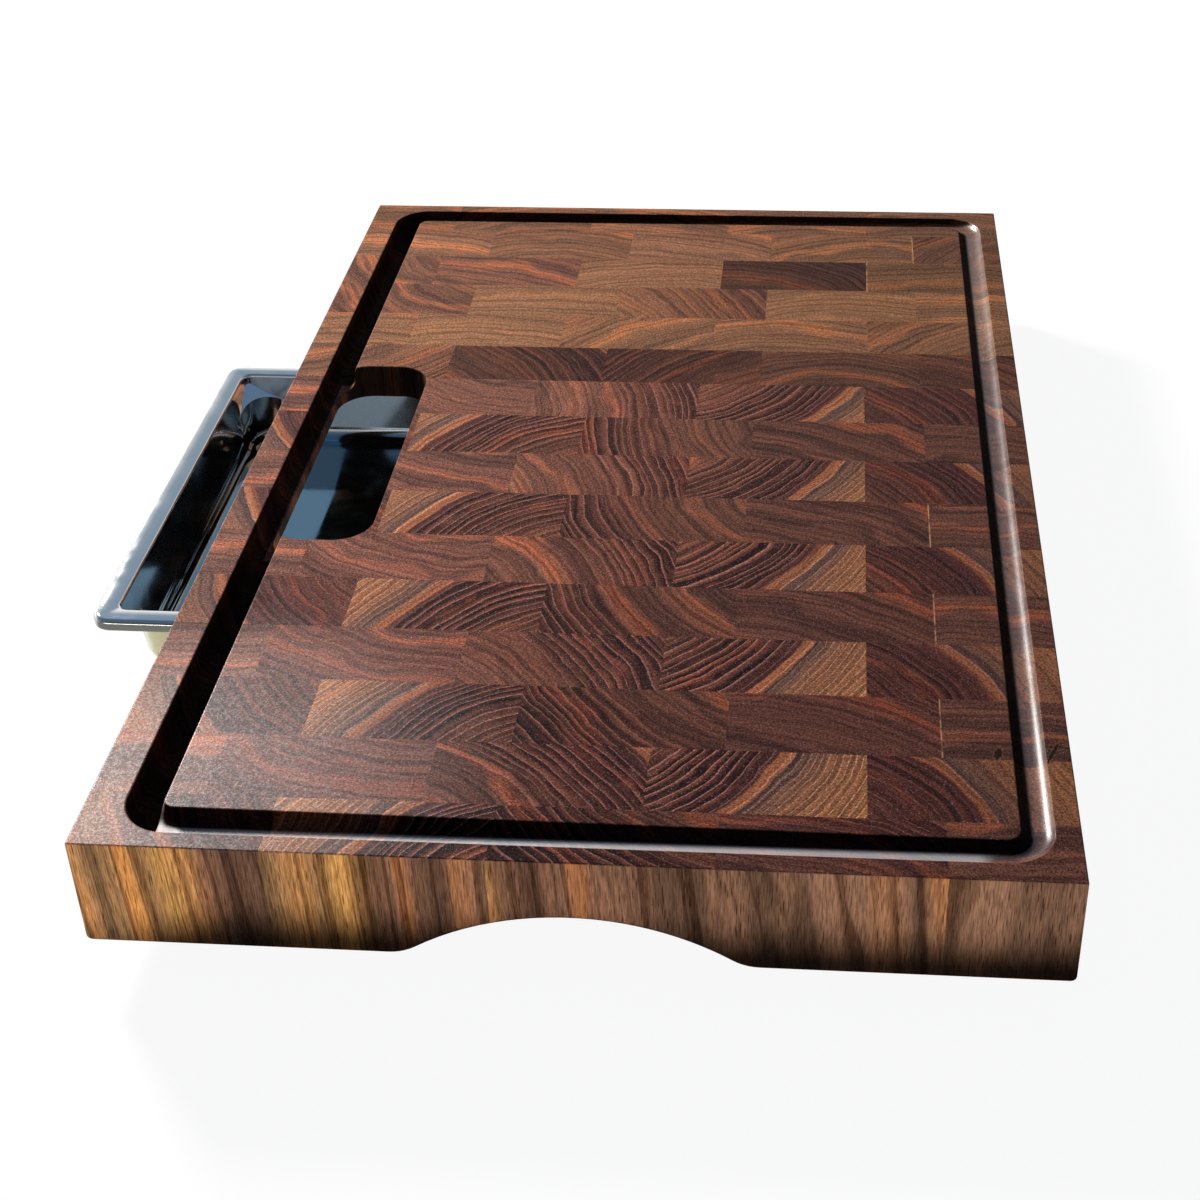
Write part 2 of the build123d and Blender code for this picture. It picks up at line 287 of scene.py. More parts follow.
def blend(tree, amount, first, second, how="MIX"):
    """Mixes two colours by an amount."""
    feeds = {0: amount, 6: first, 7: second}
    return put(tree, "ShaderNodeMix", feeds, data_type="RGBA", blend_type=how).outputs[2]


def material(name):
    """A new material with its node tree and its Principled shader."""
    made = bpy.data.materials.new(name)
    made.use_nodes = True
    return made, made.node_tree, made.node_tree.nodes["Principled BSDF"]


floor_mesh = bpy.data.meshes.new("floor")
half = FLOOR_SIZE / 2
corners = [(-half, -half, 0), (half, -half, 0), (half, half, 0), (-half, half, 0)]
floor_mesh.from_pydata(corners, [], [(0, 1, 2, 3)])
floor = bpy.data.objects.new("floor", floor_mesh)
scene.collection.objects.link(floor)
paper, paper_tree, paper_shader = material("pale_floor")
by_camera = put(paper_tree, "ShaderNodeLightPath").outputs["Is Camera Ray"]
shades = [rgb(value, value, value) for value in (FLOOR_COLOUR, FLOOR_COLOUR_SEEN)]
paper_colour = blend(paper_tree, by_camera, *shades)
glow = calc(paper_tree, "MULTIPLY", by_camera, FLOOR_GLOW)
feed_all(paper_tree, paper_shader, Base_Color=paper_colour, Roughness=0.9, Specular_IOR_Level=0.0)
feed_all(paper_tree, paper_shader, Emission_Color=rgb(1, 1, 1), Emission_Strength=glow)
floor_mesh.materials.append(paper)
scene.view_settings.view_transform = "Standard"
print("stage: floor", FLOOR_SIZE, "m")

# %% [markdown]
# ## How walnut grows
# A log is a stack of rings around its pith. Cut across, as every block here is, it shows those rings as arcs,
# and cut along, the same rings show as long stripes. A flat picture would need a different one for each side,
# so the wood is made as a solid: each point of a block asks how far it lies from the pith, and that one
# number gives the ring it is in on every face. Slow noise bends the rings and fine noise frays them. Streaks
# and broader sweeps follow them. The pores are tubes along the grain, so they are dots on the top and thin
# strokes down the sides. The blocks and the runners share all this, so it is a group.

# %% Growth ring group
GRAIN_STRETCH, PORE_STRETCH = 0.06, 0.08
SEED_SHIFT = (17.0, 29.0)
BENDS_PER_MM = 0.022
FRAYS_PER_MM, FRAY_DETAIL, FRAY_SHARE = 0.16, 3.0, 0.12
TRUNK_LEAN = (0.05, 0.03)
SAPWOOD_START, SAPWOOD_EXTRA_RINGS = 3.0, 0.5
PACE_PER_MM, PACE_SEED_STEP, PACE_RINGS = 0.05, 7.0, 2.4
BANDS = {
    "Streak": dict(per_mm=0.30, step=3.0, breaks_per_mm=0.05, breaks=1.6, detail=3.0, roughness=0.6),
    "Sweep": dict(per_mm=0.065, step=5.0, breaks_per_mm=0.024, breaks=2.2, detail=2.0, roughness=0.5),
}
PORES_PER_MM = 1.15
PORE_WIDTHS = {"Pore": (0.05, 0.15), "Stroke": (0.16, 0.34)}
LATE_PORES = 0.25


def vector(tree, operation, *values, result="Vector"):
    """One step of vector arithmetic."""
    return put(tree, "ShaderNodeVectorMath", dict(enumerate(values)), operation=operation).outputs[result]


def noise(tree, place, per_mm, detail=2.0, roughness=0.5):
    """Soft noise in space, about 0.5 on average."""
    feeds = {"Vector": place, "Scale": per_mm, "Detail": detail, "Roughness": roughness}
    return put(tree, "ShaderNodeTexNoise", feeds).outputs["Fac"]


def noise_along(tree, value, detail=2.0, roughness=0.5):
    """Soft noise along one number, about 0.5 on average."""
    feeds = {"W": value, "Scale": 1.0, "Detail": detail, "Roughness": roughness}
    return put(tree, "ShaderNodeTexNoise", feeds, noise_dimensions="1D").outputs["Fac"]


def centred(tree, value, size):
    """A noise moved to swing about zero, times a size."""
    return calc(tree, "MULTIPLY", calc(tree, "SUBTRACT", value, 0.5), size)


def lane(tree, out, per_mm, seed, step, wander):
    """A number that counts bands outwards from the pith, shifted by the seed and by a slow noise."""
    return calc(tree, "MULTIPLY_ADD", out, per_mm, calc(tree, "MULTIPLY_ADD", seed, step, wander))


def group(name, takes, gives):
    """Starts a shader group with named inputs and outputs, and returns it with its two ends."""
    tree = bpy.data.node_groups.new(name, "ShaderNodeTree")
    for label, kind in takes.items():
        tree.interface.new_socket(label, in_out="INPUT", socket_type=f"NodeSocket{kind}")
    for label in gives:
        tree.interface.new_socket(label, in_out="OUTPUT", socket_type="NodeSocketFloat")
    return tree, put(tree, "NodeGroupInput").outputs, put(tree, "NodeGroupOutput").inputs


def from_pith(tree, take, along):
    """How far a point lies from the pith of its trunk, with bent and frayed rings."""
    bend = centred(tree, noise(tree, along, BENDS_PER_MM), take["Wander"])
    fray_size = calc(tree, "MULTIPLY", take["Wander"], FRAY_SHARE)
    fray = centred(tree, noise(tree, along, FRAYS_PER_MM, FRAY_DETAIL), fray_size)
    up = apart(tree, take["Place"])["Z"]
    lean = together(tree, *[calc(tree, "MULTIPLY", up, share) for share in TRUNK_LEAN])
    flat = vector(tree, "MULTIPLY_ADD", take["Place"], (1, 1, 0), lean)
    pith = vector(tree, "MULTIPLY", take["Pith"], (1, 1, 0))
    out = vector(tree, "DISTANCE", flat, pith, result="Value")
    return calc(tree, "ADD", calc(tree, "ADD", out, bend), fray)


def make_growth_rings():
    takes = {"Place": "Vector", "Pith": "Vector", "Seed": "Float", "Ring width": "Float", "Wander": "Float"}
    gives = ("Depth", "Ring", "Streak", "Sweep", "Pore", "Stroke")
    tree, take, give = group("growth_rings", takes, gives)
    seed = take["Seed"]
    shift = together(tree, *[calc(tree, "MULTIPLY", seed, step) for step in SEED_SHIFT])
    along = vector(tree, "MULTIPLY_ADD", take["Place"], (1, 1, GRAIN_STRETCH), shift)
    out = from_pith(tree, take, along)
    depth = calc(tree, "SUBTRACT", out, apart(tree, take["Pith"])["Z"])
    feed(tree, give["Depth"], depth)

    pace = noise_along(tree, lane(tree, out, PACE_PER_MM, seed, PACE_SEED_STEP, 0.0), 1.0)
    sapwood = calc(tree, "MAXIMUM", calc(tree, "SUBTRACT", depth, SAPWOOD_START), 0.0)
    grown = calc(tree, "MULTIPLY_ADD", sapwood, SAPWOOD_EXTRA_RINGS, out)
    count = calc(tree, "DIVIDE", grown, take["Ring width"])
    ring = calc(tree, "FRACT", calc(tree, "MULTIPLY_ADD", pace, PACE_RINGS, count))
    feed(tree, give["Ring"], ring)

    for name, band in BANDS.items():
        broken = calc(tree, "MULTIPLY", noise(tree, along, band["breaks_per_mm"]), band["breaks"])
        counted = lane(tree, out, band["per_mm"], seed, band["step"], broken)
        feed(tree, give[name], noise_along(tree, counted, band["detail"], band["roughness"]))

    tubes = vector(tree, "MULTIPLY_ADD", take["Place"], (1, 1, PORE_STRETCH), shift)
    cells = put(tree, "ShaderNodeTexVoronoi", {"Vector": tubes, "Scale": PORES_PER_MM}).outputs["Distance"]
    early = ease(tree, ring, 0.0, 1.0, 1.0, LATE_PORES)
    for name, (narrow, wide) in PORE_WIDTHS.items():
        feed(tree, give[name], part_of(tree, ease(tree, cells, narrow, wide, 1.0, 0.0), early))
    return tree


growth_rings = make_growth_rings()
print("group:", growth_rings.name, "with", len(growth_rings.nodes), "nodes")

# %% [markdown]
# ## End grain
# From the pith outwards this wood goes from a plain red brown, through dark heartwood full of black lines, to
# a narrow orange band, and then to pale sapwood with fine cream rings. One colour ramp along the distance
# from that orange band holds all of it. Three more ramps say how strongly the cream lines, the black lines
# and the broad sweeps of grey and orange show at each distance. Each block could have a material of its own,
# but eighty of them could not be kept alike, so the blocks differ only in the numbers that they carry. Where
# cut fibres and pores would catch the sun, painted glints put pale dots into the colour.

# %% End grain from pith to bark
INNERMOST, OUTERMOST = -120.0, 40.0
END_GRAIN = [
    (-120, (0.148, 0.064, 0.040)),
    (-80, (0.160, 0.066, 0.040)),
    (-50, (0.150, 0.056, 0.034)),
    (-28, (0.128, 0.046, 0.030)),
    (-9, (0.105, 0.037, 0.027)),
    (-3.2, (0.080, 0.029, 0.023)),
    (-2.4, (0.262, 0.092, 0.042)),
    (0.5, (0.285, 0.106, 0.048)),
    (2.4, (0.350, 0.150, 0.074)),
    (3.1, (0.090, 0.048, 0.040)),
    (7, (0.135, 0.068, 0.045)),
    (16, (0.228, 0.100, 0.051)),
    (40, (0.300, 0.132, 0.054)),
]
PALE_LINES = [(-120, 0.06), (-60, 0.15), (-42, 0.60), (-26, 0.85), (-9, 0.85),
              (-3, 0.30), (3, 0.55), (10, 0.85), (40, 0.85)]
DARK_LINES = [(-120, 0.12), (-60, 0.30), (-42, 0.80), (-26, 1.0), (-9, 1.0),
              (-3, 0.20), (3, 0.30), (10, 0.18), (40, 0.10)]
SWEEPS = [(-120, 1.0), (-60, 0.9), (-42, 0.6), (-9, 0.5), (-3, 0.0), (4, 0.0), (10, 0.25), (40, 0.25)]
DARK_LINES_LEAST = 0.35
GREY_TINT, GREY_SWEEP = rgb(0.46, 0.48, 0.54), dict(low=0.34, high=0.60, start=1.0, end=0.0)
GLOW_TINT, GLOW_SWEEP = rgb(2.05, 1.48, 1.02), dict(low=0.54, high=0.76)
BLACK_TINT, BLACK_STREAK = rgb(0.21, 0.20, 0.28), dict(low=0.46, high=0.62)
STREAKS_IN_PLAIN_WOOD, STREAKS_MORE_IN_LINED = 0.45, 0.45
LATE_TINT, LATE_WOOD = rgb(0.13, 0.11, 0.17), dict(low=0.16, high=0.70)
LATE_WEAR = dict(per_mm=0.10, detail=3.0, low=0.30, high=0.56, start=0.45, end=1.0)
PALE_GAIN, PALE_LIFT = rgb(1.9, 1.9, 1.9), rgb(0.110, 0.075, 0.065)
PALE_RING, PALE_RING_SHOWS = dict(low=0.04, high=0.18, start=1.0, end=0.0), 0.92
PALE_GAPS = dict(per_mm=1.3, low=0.26, high=0.50)
PAINTED_PORE_GLINTS = 0.28
SPECKLE = dict(per_mm=1.05, detail=3.0, roughness=0.7, low=0.30, high=0.70, start=0.36, end=1.66)
PAINTED_GLINT, PAINTED_GLINTS = rgb(0.80, 0.72, 0.72), dict(per_mm=1.5, detail=1.0, low=0.66, high=0.74, start=0.0, end=0.22)


def mottled(tree, place, per_mm, detail=2.0, roughness=0.5, **eased):
    """Soft noise in space, eased between two of its values."""
    return ease(tree, noise(tree, place, per_mm, detail, roughness), **eased)


def from_depth(tree, depth, stops):
    """A ramp whose stops are distances from the orange band; a stop is a colour or a plain number."""
    span = OUTERMOST - INNERMOST
    share = calc(tree, "DIVIDE", calc(tree, "SUBTRACT", depth, INNERMOST), span)
    colours = [rgb(*c) if isinstance(c, tuple) else rgb(c, c, c) for _, c in stops]
    return ramp(tree, share, [((d - INNERMOST) / span, colour) for (d, _), colour in zip(stops, colours)])


def tinted(tree, colour, tint, amount=1.0):
    """A colour times a tint, by an amount."""
    return blend(tree, amount, colour, tint, "MULTIPLY")


def scaled(tree, colour, amount):
    """A colour made lighter or darker."""
    feeds = {0: colour, "Scale": amount}
    return put(tree, "ShaderNodeVectorMath", feeds, operation="SCALE").outputs["Vector"]


def end_grain_colour(tree, place, rings, lines=1.0, lively=1.0):
    """The face of a block cut across the grain, with its rings and sweeps drawn strongly or faintly."""
    field = from_depth(tree, rings["Depth"], END_GRAIN)
    pale_lines = part_of(tree, from_depth(tree, rings["Depth"], PALE_LINES), lines)
    darkness = calc(tree, "MULTIPLY_ADD", lines, 1 - DARK_LINES_LEAST, DARK_LINES_LEAST)
    dark_lines = part_of(tree, from_depth(tree, rings["Depth"], DARK_LINES), darkness)
    sweeps = part_of(tree, from_depth(tree, rings["Depth"], SWEEPS), lively)
    grey = part_of(tree, ease(tree, rings["Sweep"], **GREY_SWEEP), sweeps)
    colour = tinted(tree, field, GREY_TINT, grey)
    colour = tinted(tree, colour, GLOW_TINT, part_of(tree, ease(tree, rings["Sweep"], **GLOW_SWEEP), sweeps))
    dark = calc(tree, "MULTIPLY_ADD", dark_lines, STREAKS_MORE_IN_LINED, STREAKS_IN_PLAIN_WOOD)
    streak = part_of(tree, ease(tree, rings["Streak"], **BLACK_STREAK), dark)
    colour = tinted(tree, colour, BLACK_TINT, streak)
    worn = mottled(tree, place, **LATE_WEAR)
    late = part_of(tree, ease(tree, rings["Ring"], **LATE_WOOD), dark_lines, worn)
    colour = tinted(tree, colour, LATE_TINT, late)
    pale = blend(tree, 1.0, tinted(tree, field, PALE_GAIN), PALE_LIFT, "ADD")
    thin = part_of(tree, ease(tree, rings["Ring"], **PALE_RING), mottled(tree, place, **PALE_GAPS))
    colour = blend(tree, part_of(tree, thin, pale_lines, PALE_RING_SHOWS), colour, pale)
    # Painted glints: the pores get pale dots where they would catch the sun.
    colour = blend(tree, part_of(tree, rings["Pore"], PAINTED_PORE_GLINTS), colour, pale)
    colour = scaled(tree, colour, mottled(tree, place, **SPECKLE))
    # Painted glints: pale dots where cut fibres would catch the sun.
    return blend(tree, mottled(tree, place, **PAINTED_GLINTS), colour, PAINTED_GLINT)


print("end grain:", len(END_GRAIN), "colours over", OUTERMOST - INNERMOST, "mm of growth")

# %% [markdown]
# ## Long grain
# Oil sinks far into end grain and darkens it, but hardly into a face that runs along the grain. So those
# faces have a paler ramp of their own, chosen by the direction that the surface faces. The same rings run
# down them as stripes, with the pores as dark strokes. A second material on the side faces would do as well
# on square blocks, but the round walls of the finger arches turn from one kind of grain into the other.
# Towards the bottom the sides are darkened nearly to black with painted shade, less at the near left corner.

# %% Faces along the grain
LONG_GRAIN = [
    (-120, (0.330, 0.168, 0.098)),
    (-60, (0.315, 0.158, 0.090)),
    (-28, (0.275, 0.134, 0.078)),
    (-9, (0.250, 0.120, 0.068)),
    (-3, (0.540, 0.255, 0.088)),
    (4, (0.720, 0.360, 0.105)),
    (9, (0.420, 0.215, 0.085)),
    (40, (0.400, 0.210, 0.095)),
]
STRIPES = [
    ("Sweep", rgb(0.42, 0.44, 0.46), dict(low=0.38, high=0.56, start=0.95, end=0.0)),
    ("Sweep", rgb(1.42, 1.16, 0.82), dict(low=0.54, high=0.70)),
    ("Streak", rgb(0.44, 0.39, 0.36), dict(low=0.48, high=0.66, start=0.0, end=0.95)),
]
STROKE_TINT = rgb(0.26, 0.22, 0.20)
FIBRE_STRETCH = (1.0, 1.0, 0.07)
FIBRES = dict(per_mm=2.0, detail=4.0, roughness=0.6, low=0.28, high=0.72, start=0.56, end=1.46)
ACROSS_GRAIN = dict(low=0.35, high=0.9)
# Painted shade: the sides darken towards the bottom, and the near left corner gets less of it.
LOW_SIDE_SHADE = dict(low=21.0, high=47.0, start=0.06, end=1.0)
LESS_SHADE_AT_CORNER = dict(low=-158.0, high=-105.0, start=14.0, end=0.0)


def long_grain_colour(tree, place, rings):
    """A face that runs along the grain, with the pores as dark strokes."""
    colour = from_depth(tree, rings["Depth"], LONG_GRAIN)
    for kind, tint, eased in STRIPES:
        colour = tinted(tree, colour, tint, ease(tree, rings[kind], **eased))
    colour = tinted(tree, colour, STROKE_TINT, rings["Stroke"])
    drawn = vector(tree, "MULTIPLY", place, FIBRE_STRETCH)
    return scaled(tree, colour, mottled(tree, drawn, **FIBRES))


def surface_facing(tree):
    """The direction that the surface faces."""
    return put(tree, "ShaderNodeTexCoord").outputs["Normal"]


def end_grain_share(tree, axis="Z"):
    """1 where a face lies across the grain, 0 where it runs along it."""
    straight = calc(tree, "ABSOLUTE", apart(tree, surface_facing(tree))[axis])
    return ease(tree, straight, **ACROSS_GRAIN)


def painted_side_shade(tree, at):
    """Painted shade on the sides, darker towards the bottom; the near left corner counts as higher, so gets
    less.
    """
    raised = calc(tree, "ADD", at["Z"], ease(tree, at["X"], **LESS_SHADE_AT_CORNER))
    return ease(tree, raised, **LOW_SIDE_SHADE)


print("long grain:", len(LONG_GRAIN), "colours and", len(STRIPES), "kinds of stripe")

# %% [markdown]
# ## Groove, gutter and chute
# Painted shade makes the groove nearly black, except on the side that faces the sun lamp, which gleams. The
# wall of the chute that faces the viewer and the whole underside get painted shade too. Marks on the mesh
# would be lost when the solid is made again, so the cuts are found by place: between which limits a point
# lies, and how far below the top of the board.

# %% Shade in the cuts
BORDER_LEAST = 5.0
CUT_EDGE = 0.1
GROOVE_STARTS, GUTTER_DEEPEST = 0.25, 12.6
LEFT_OF_GUTTER_EDGE = dict(low=-135.0, high=-133.0, start=1.0, end=0.0)
SLOT_LEFT, SLOT_RIGHT, SLOT_END = -143.0, -92.0, 87.5
BELOW_SLOT_EDGE = dict(low=0.1, high=0.6)
SUNNY = dict(low=0.30, high=0.50)
TO_VIEWER = dict(low=-0.75, high=-0.3, start=1.0, end=0.0)
UNDERSIDE = dict(low=-0.6, high=-0.3, start=0.6, end=0.0)


def inside(tree, value, low, high):
    """1 where a value lies between two limits, with a soft edge."""
    above = ease(tree, value, low - CUT_EDGE, low + CUT_EDGE)
    below = ease(tree, value, high - CUT_EDGE, high + CUT_EDGE, 1.0, 0.0)
    return part_of(tree, above, below)


def cut_masks(tree, at):
    """1 on the surface of the juice groove, of its gutter and of the chute slot, found by place."""
    below = calc(tree, "SUBTRACT", board_high.z, at["Z"])
    in_x = inside(tree, at["X"], board_low.x + BORDER_LEAST, board_high.x - BORDER_LEAST)
    in_y = inside(tree, at["Y"], board_low.y + BORDER_LEAST, board_high.y - BORDER_LEAST)
    slot_x = inside(tree, at["X"], SLOT_LEFT, SLOT_RIGHT)
    slot = part_of(tree, slot_x, inside(tree, at["Y"], -SLOT_END, SLOT_END))
    sunk = inside(tree, below, GROOVE_STARTS, GUTTER_DEEPEST)
    groove = part_of(tree, in_x, in_y, sunk, rest_of(tree, slot))
    gutter = part_of(tree, groove, ease(tree, at["X"], **LEFT_OF_GUTTER_EDGE))
    return groove, gutter, part_of(tree, slot, ease(tree, below, **BELOW_SLOT_EDGE))


def shaded_cuts(tree, at):
    """The groove, the painted shade of the cuts and underside, and how much the groove's sunny side gleams.
    """
    groove, gutter, chute = cut_masks(tree, at)
    facing = surface_facing(tree)
    sunward = vector(tree, "DOT_PRODUCT", facing, tuple(SUN_TOWARDS), result="Value")
    sunny = part_of(tree, ease(tree, sunward, **SUNNY), rest_of(tree, gutter))
    way = apart(tree, facing)
    chute_wall = part_of(tree, chute, ease(tree, way["Y"], **TO_VIEWER))
    # Painted shade: the groove away from the sun, the chute wall that faces the viewer, and the underside.
    shade = calc(tree, "MAXIMUM", part_of(tree, groove, rest_of(tree, sunny)), chute_wall)
    shade = calc(tree, "MAXIMUM", shade, ease(tree, way["Z"], **UNDERSIDE))
    return groove, shade, part_of(tree, groove, sunny)


print("cuts: chute slot", SLOT_RIGHT - SLOT_LEFT, "x", 2 * SLOT_END, "mm, gutter", GUTTER_DEEPEST, "mm deep")

# %% [markdown]
# ## Glue lines and bark pockets
# In a few strips the last joint shows as a pale line of glue, and two dark pockets of bark lie beside the
# right groove. They could be cut into the mesh, but they are flat and small, so they are colour only. A glue
# line is known by its distance from the joint, whose place the strip carries as a number. A Mapping node
# stretches and turns a round spot into a pocket, and noise makes its edge ragged.

# %% Glue and bark
GLUE, GLUE_LINE = rgb(0.46, 0.24, 0.12), dict(low=0.12, high=0.42, start=1.0, end=0.0)
GLUE_GAPS = dict(per_mm=0.25, low=0.35, high=0.55, start=0.15, end=0.85)
KNOT = {"Location": (188.3, -230.5, 0), "Rotation": (0, 0, radians(-10)), "Scale": (1.9, 4.4, 1000)}
SLIT = {"Location": (209.6, -229.0, 0), "Rotation": (0, 0, radians(-22)), "Scale": (1.0, 8.0, 1000)}
RAGS_PER_MM, RAG_DETAIL, RAG_SIZE = 0.7, 3.0, 1.5
BARK_EDGE, BARK_EDGE_REACH = rgb(0.26, 0.085, 0.028), dict(low=0.90, high=1.25, start=0.45, end=0.0)
BARK, BARK_REACH = rgb(0.010, 0.008, 0.008), dict(low=0.75, high=0.95, start=0.95, end=0.0)


def with_glue(tree, colour, place, at, joint):
    """A colour with the glue line that a strip shows."""
    from_joint = calc(tree, "ABSOLUTE", calc(tree, "SUBTRACT", at["X"], joint))
    line = part_of(tree, ease(tree, from_joint, **GLUE_LINE), mottled(tree, place, **GLUE_GAPS))
    return blend(tree, line, colour, GLUE)


def with_bark(tree, colour, place):
    """A colour with the two bark pockets beside the right groove."""
    ragged = centred(tree, noise(tree, place, RAGS_PER_MM, RAG_DETAIL), RAG_SIZE)
    for pocket in (KNOT, SLIT):
        spot = put(tree, "ShaderNodeMapping", {"Vector": place, **pocket}, vector_type="TEXTURE").outputs[0]
        away = calc(tree, "ADD", vector(tree, "LENGTH", spot, result="Value"), ragged)
        colour = blend(tree, ease(tree, away, **BARK_EDGE_REACH), colour, BARK_EDGE)
        colour = blend(tree, ease(tree, away, **BARK_REACH), colour, BARK)
    return colour


print("bark pockets at", [tuple(pocket["Location"][:2]) for pocket in (KNOT, SLIT)])

# %% [markdown]
# ## Oiled walnut
# Here the two kinds of grain, the cuts and the marks come together in the one material of all the blocks.
# Every block carries three sets of numbers. "pith" says where its trunk's middle lies and how far out the
# orange band is, "tone" holds its lightness, its warmth and its seed, and "marks" holds how strongly its ring
# lines show, where a glue line lies and how much painted light its strip gets at the left end. The left side
# is painted lighter, as if more strongly lit, and most in the strips that are turned, and the near end is a
# little darker. An even gloss would veil the whole board in grey, so the oil shines little, except on the
# near left of the cutting face, on the sunny side of the groove and on the rough lip along its near run.

# %% Oiled walnut
BLOCK_NUMBERS = ("pith", "tone", "marks")
BLOCK_GROWTH = dict(Ring_width=4.4, Wander=10.0)
COOL_TINT, WARM_TINT = rgb(1.03, 0.89, 1.0), rgb(1.02, 1.07, 0.80)
SWEEPS_LOST_IN_WARM_WOOD = 0.50
PAINTED_LIGHT_RIGHT, NEAR_END_SHADE = 1.0, 0.94
SHADE_DARK = 0.16
LIP_FROM, LIP_TO = 30.0, 40.0
WORN = dict(per_mm=0.03, detail=3.0, low=0.3, high=0.7, start=0.42, end=0.52)
ROUGHER_GLEAM, ROUGHER_LIP, ROUGHER_PORE = -0.17, 0.36, 0.12
SATIN_SKIN = dict(low=0.0, high=1.0, start=0.50, end=0.10)
OIL_GLOSS, GLEAM_GLOSS, LIP_GLOSS = 0.16, 0.60, 3.2
GLINTS = dict(per_mm=1.1, detail=3.0, roughness=0.7, low=0.44, high=0.70, start=0.24, end=1.0)
SHEEN_PLACE, SHEEN = (-112.0, -258.0, 66.8), dict(low=20.0, high=125.0, start=1.5, end=0.0)
TOP_FACE = dict(low=board_high.z - 0.6, high=board_high.z - 0.2)
GRAIN_PER_MM, GRAIN_HEIGHT, PORE_HEIGHT = 1.5, 0.8, -1.0
RELIEF, RELIEF_MORE_IN_GLEAM, RELIEF_MM = 0.35, 0.45, 0.10


def in_millimetres(tree):
    """Where a point lies in the frame, in millimetres."""
    place = put(tree, "ShaderNodeTexCoord").outputs["Object"]
    return vector(tree, "MULTIPLY", place, (1 / MM, 1 / MM, 1 / MM))


def place_group(tree, made, **inputs):
    """Places a shader group in a material and feeds it."""
    node = put(tree, "ShaderNodeGroup", node_tree=made)
    feed_all(tree, node, **inputs)
    return node.outputs


def raise_surface(tree, shader, height, strength, depth_mm):
    """Feeds a height map to a shader's Normal."""
    feeds = {"Height": height, "Strength": strength, "Distance": depth_mm * MM}
    feed_all(tree, shader, Normal=put(tree, "ShaderNodeBump", feeds).outputs["Normal"])


def top_colour(tree, place, at, rings, tone, marks):
    """A block's end grain in its own tone, with its glue line, its bark, painted light at the left, a darker
    near end.
    """
    lively = calc(tree, "MULTIPLY_ADD", tone["Y"], -SWEEPS_LOST_IN_WARM_WOOD, 1.0)
    colour = scaled(tree, end_grain_colour(tree, place, rings, marks["X"], lively), tone["X"])
    colour = blend(tree, tone["Y"], tinted(tree, colour, COOL_TINT), tinted(tree, colour, WARM_TINT))
    colour = with_bark(tree, with_glue(tree, colour, place, at, marks["Y"]), place)
    # Painted light, strongest at the left end; a little darker towards the near end.
    painted_lighting = ease(tree, at["X"], board_low.x, board_high.x, marks["Z"], PAINTED_LIGHT_RIGHT)
    near_end = ease(tree, at["Y"], board_low.y, 0.0, NEAR_END_SHADE, 1.0)
    return scaled(tree, colour, part_of(tree, painted_lighting, near_end))


def near_lip(tree, at, gleam):
    """1 on the sunny side of the groove's near run, up to its right corner."""
    near = ease(tree, at["Y"], board_low.y + LIP_FROM, board_low.y + LIP_TO, 1.0, 0.0)
    left = ease(tree, at["X"], board_high.x - LIP_TO, board_high.x - LIP_FROM, 1.0, 0.0)
    return part_of(tree, gleam, near, left)


def wood_roughness(tree, place, rings, gleam, lip):
    rough = mottled(tree, place, **WORN)
    for share, more in ((gleam, ROUGHER_GLEAM), (lip, ROUGHER_LIP), (rings["Pore"], ROUGHER_PORE)):
        rough = calc(tree, "MULTIPLY_ADD", share, more, rough)
    return rough


def wood_gloss(tree, place, at, shade, gleam, lip):
    """How strongly the oil shines; it depends on place alone, not on the rings."""
    sheen = ease(tree, vector(tree, "DISTANCE", place, SHEEN_PLACE, result="Value"), **SHEEN)
    sheen = part_of(tree, sheen, ease(tree, at["Z"], **TOP_FACE))
    skin = part_of(tree, ease(tree, shade, **SATIN_SKIN), calc(tree, "ADD", sheen, OIL_GLOSS))
    gloss = part_of(tree, mottled(tree, place, **GLINTS), skin)
    for share, more in ((gleam, GLEAM_GLOSS), (lip, LIP_GLOSS)):
        gloss = calc(tree, "MULTIPLY_ADD", share, more, gloss)
    return gloss


def make_walnut():
    made, tree, shader = material("oiled_walnut")
    place = in_millimetres(tree)
    at = apart(tree, place)
    readers = [put(tree, "ShaderNodeAttribute", attribute_name=name) for name in BLOCK_NUMBERS]
    pith, tone, marks = [reader.outputs["Vector"] for reader in readers]
    tone, marks = apart(tree, tone), apart(tree, marks)
    rings = place_group(tree, growth_rings, Place=place, Pith=pith, Seed=tone["Z"], **BLOCK_GROWTH)
    groove, shade, gleam = shaded_cuts(tree, at)
    lip = near_lip(tree, at, gleam)
    top = top_colour(tree, place, at, rings, tone, marks)
    side = scaled(tree, long_grain_colour(tree, place, rings), painted_side_shade(tree, at))
    colour = blend(tree, calc(tree, "MAXIMUM", end_grain_share(tree), groove), side, top)
    # Painted shade darkens the colour in the cuts and on the underside.
    colour = scaled(tree, colour, ease(tree, shade, 0.0, 1.0, 1.0, SHADE_DARK))
    rough = wood_roughness(tree, place, rings, gleam, lip)
    gloss = wood_gloss(tree, place, at, shade, gleam, lip)
    feed_all(tree, shader, Base_Color=colour, Roughness=rough, Specular_IOR_Level=gloss)
    pores = part_of(tree, rings["Pore"], PORE_HEIGHT)
    height = calc(tree, "MULTIPLY_ADD", noise(tree, place, GRAIN_PER_MM), GRAIN_HEIGHT, pores)
    strength = calc(tree, "MULTIPLY_ADD", gleam, RELIEF_MORE_IN_GLEAM, RELIEF)
    raise_surface(tree, shader, height, strength, RELIEF_MM)
    return made


block_walnut = make_walnut()
print("material:", block_walnut.name, "with", len(block_walnut.node_tree.nodes), "nodes")

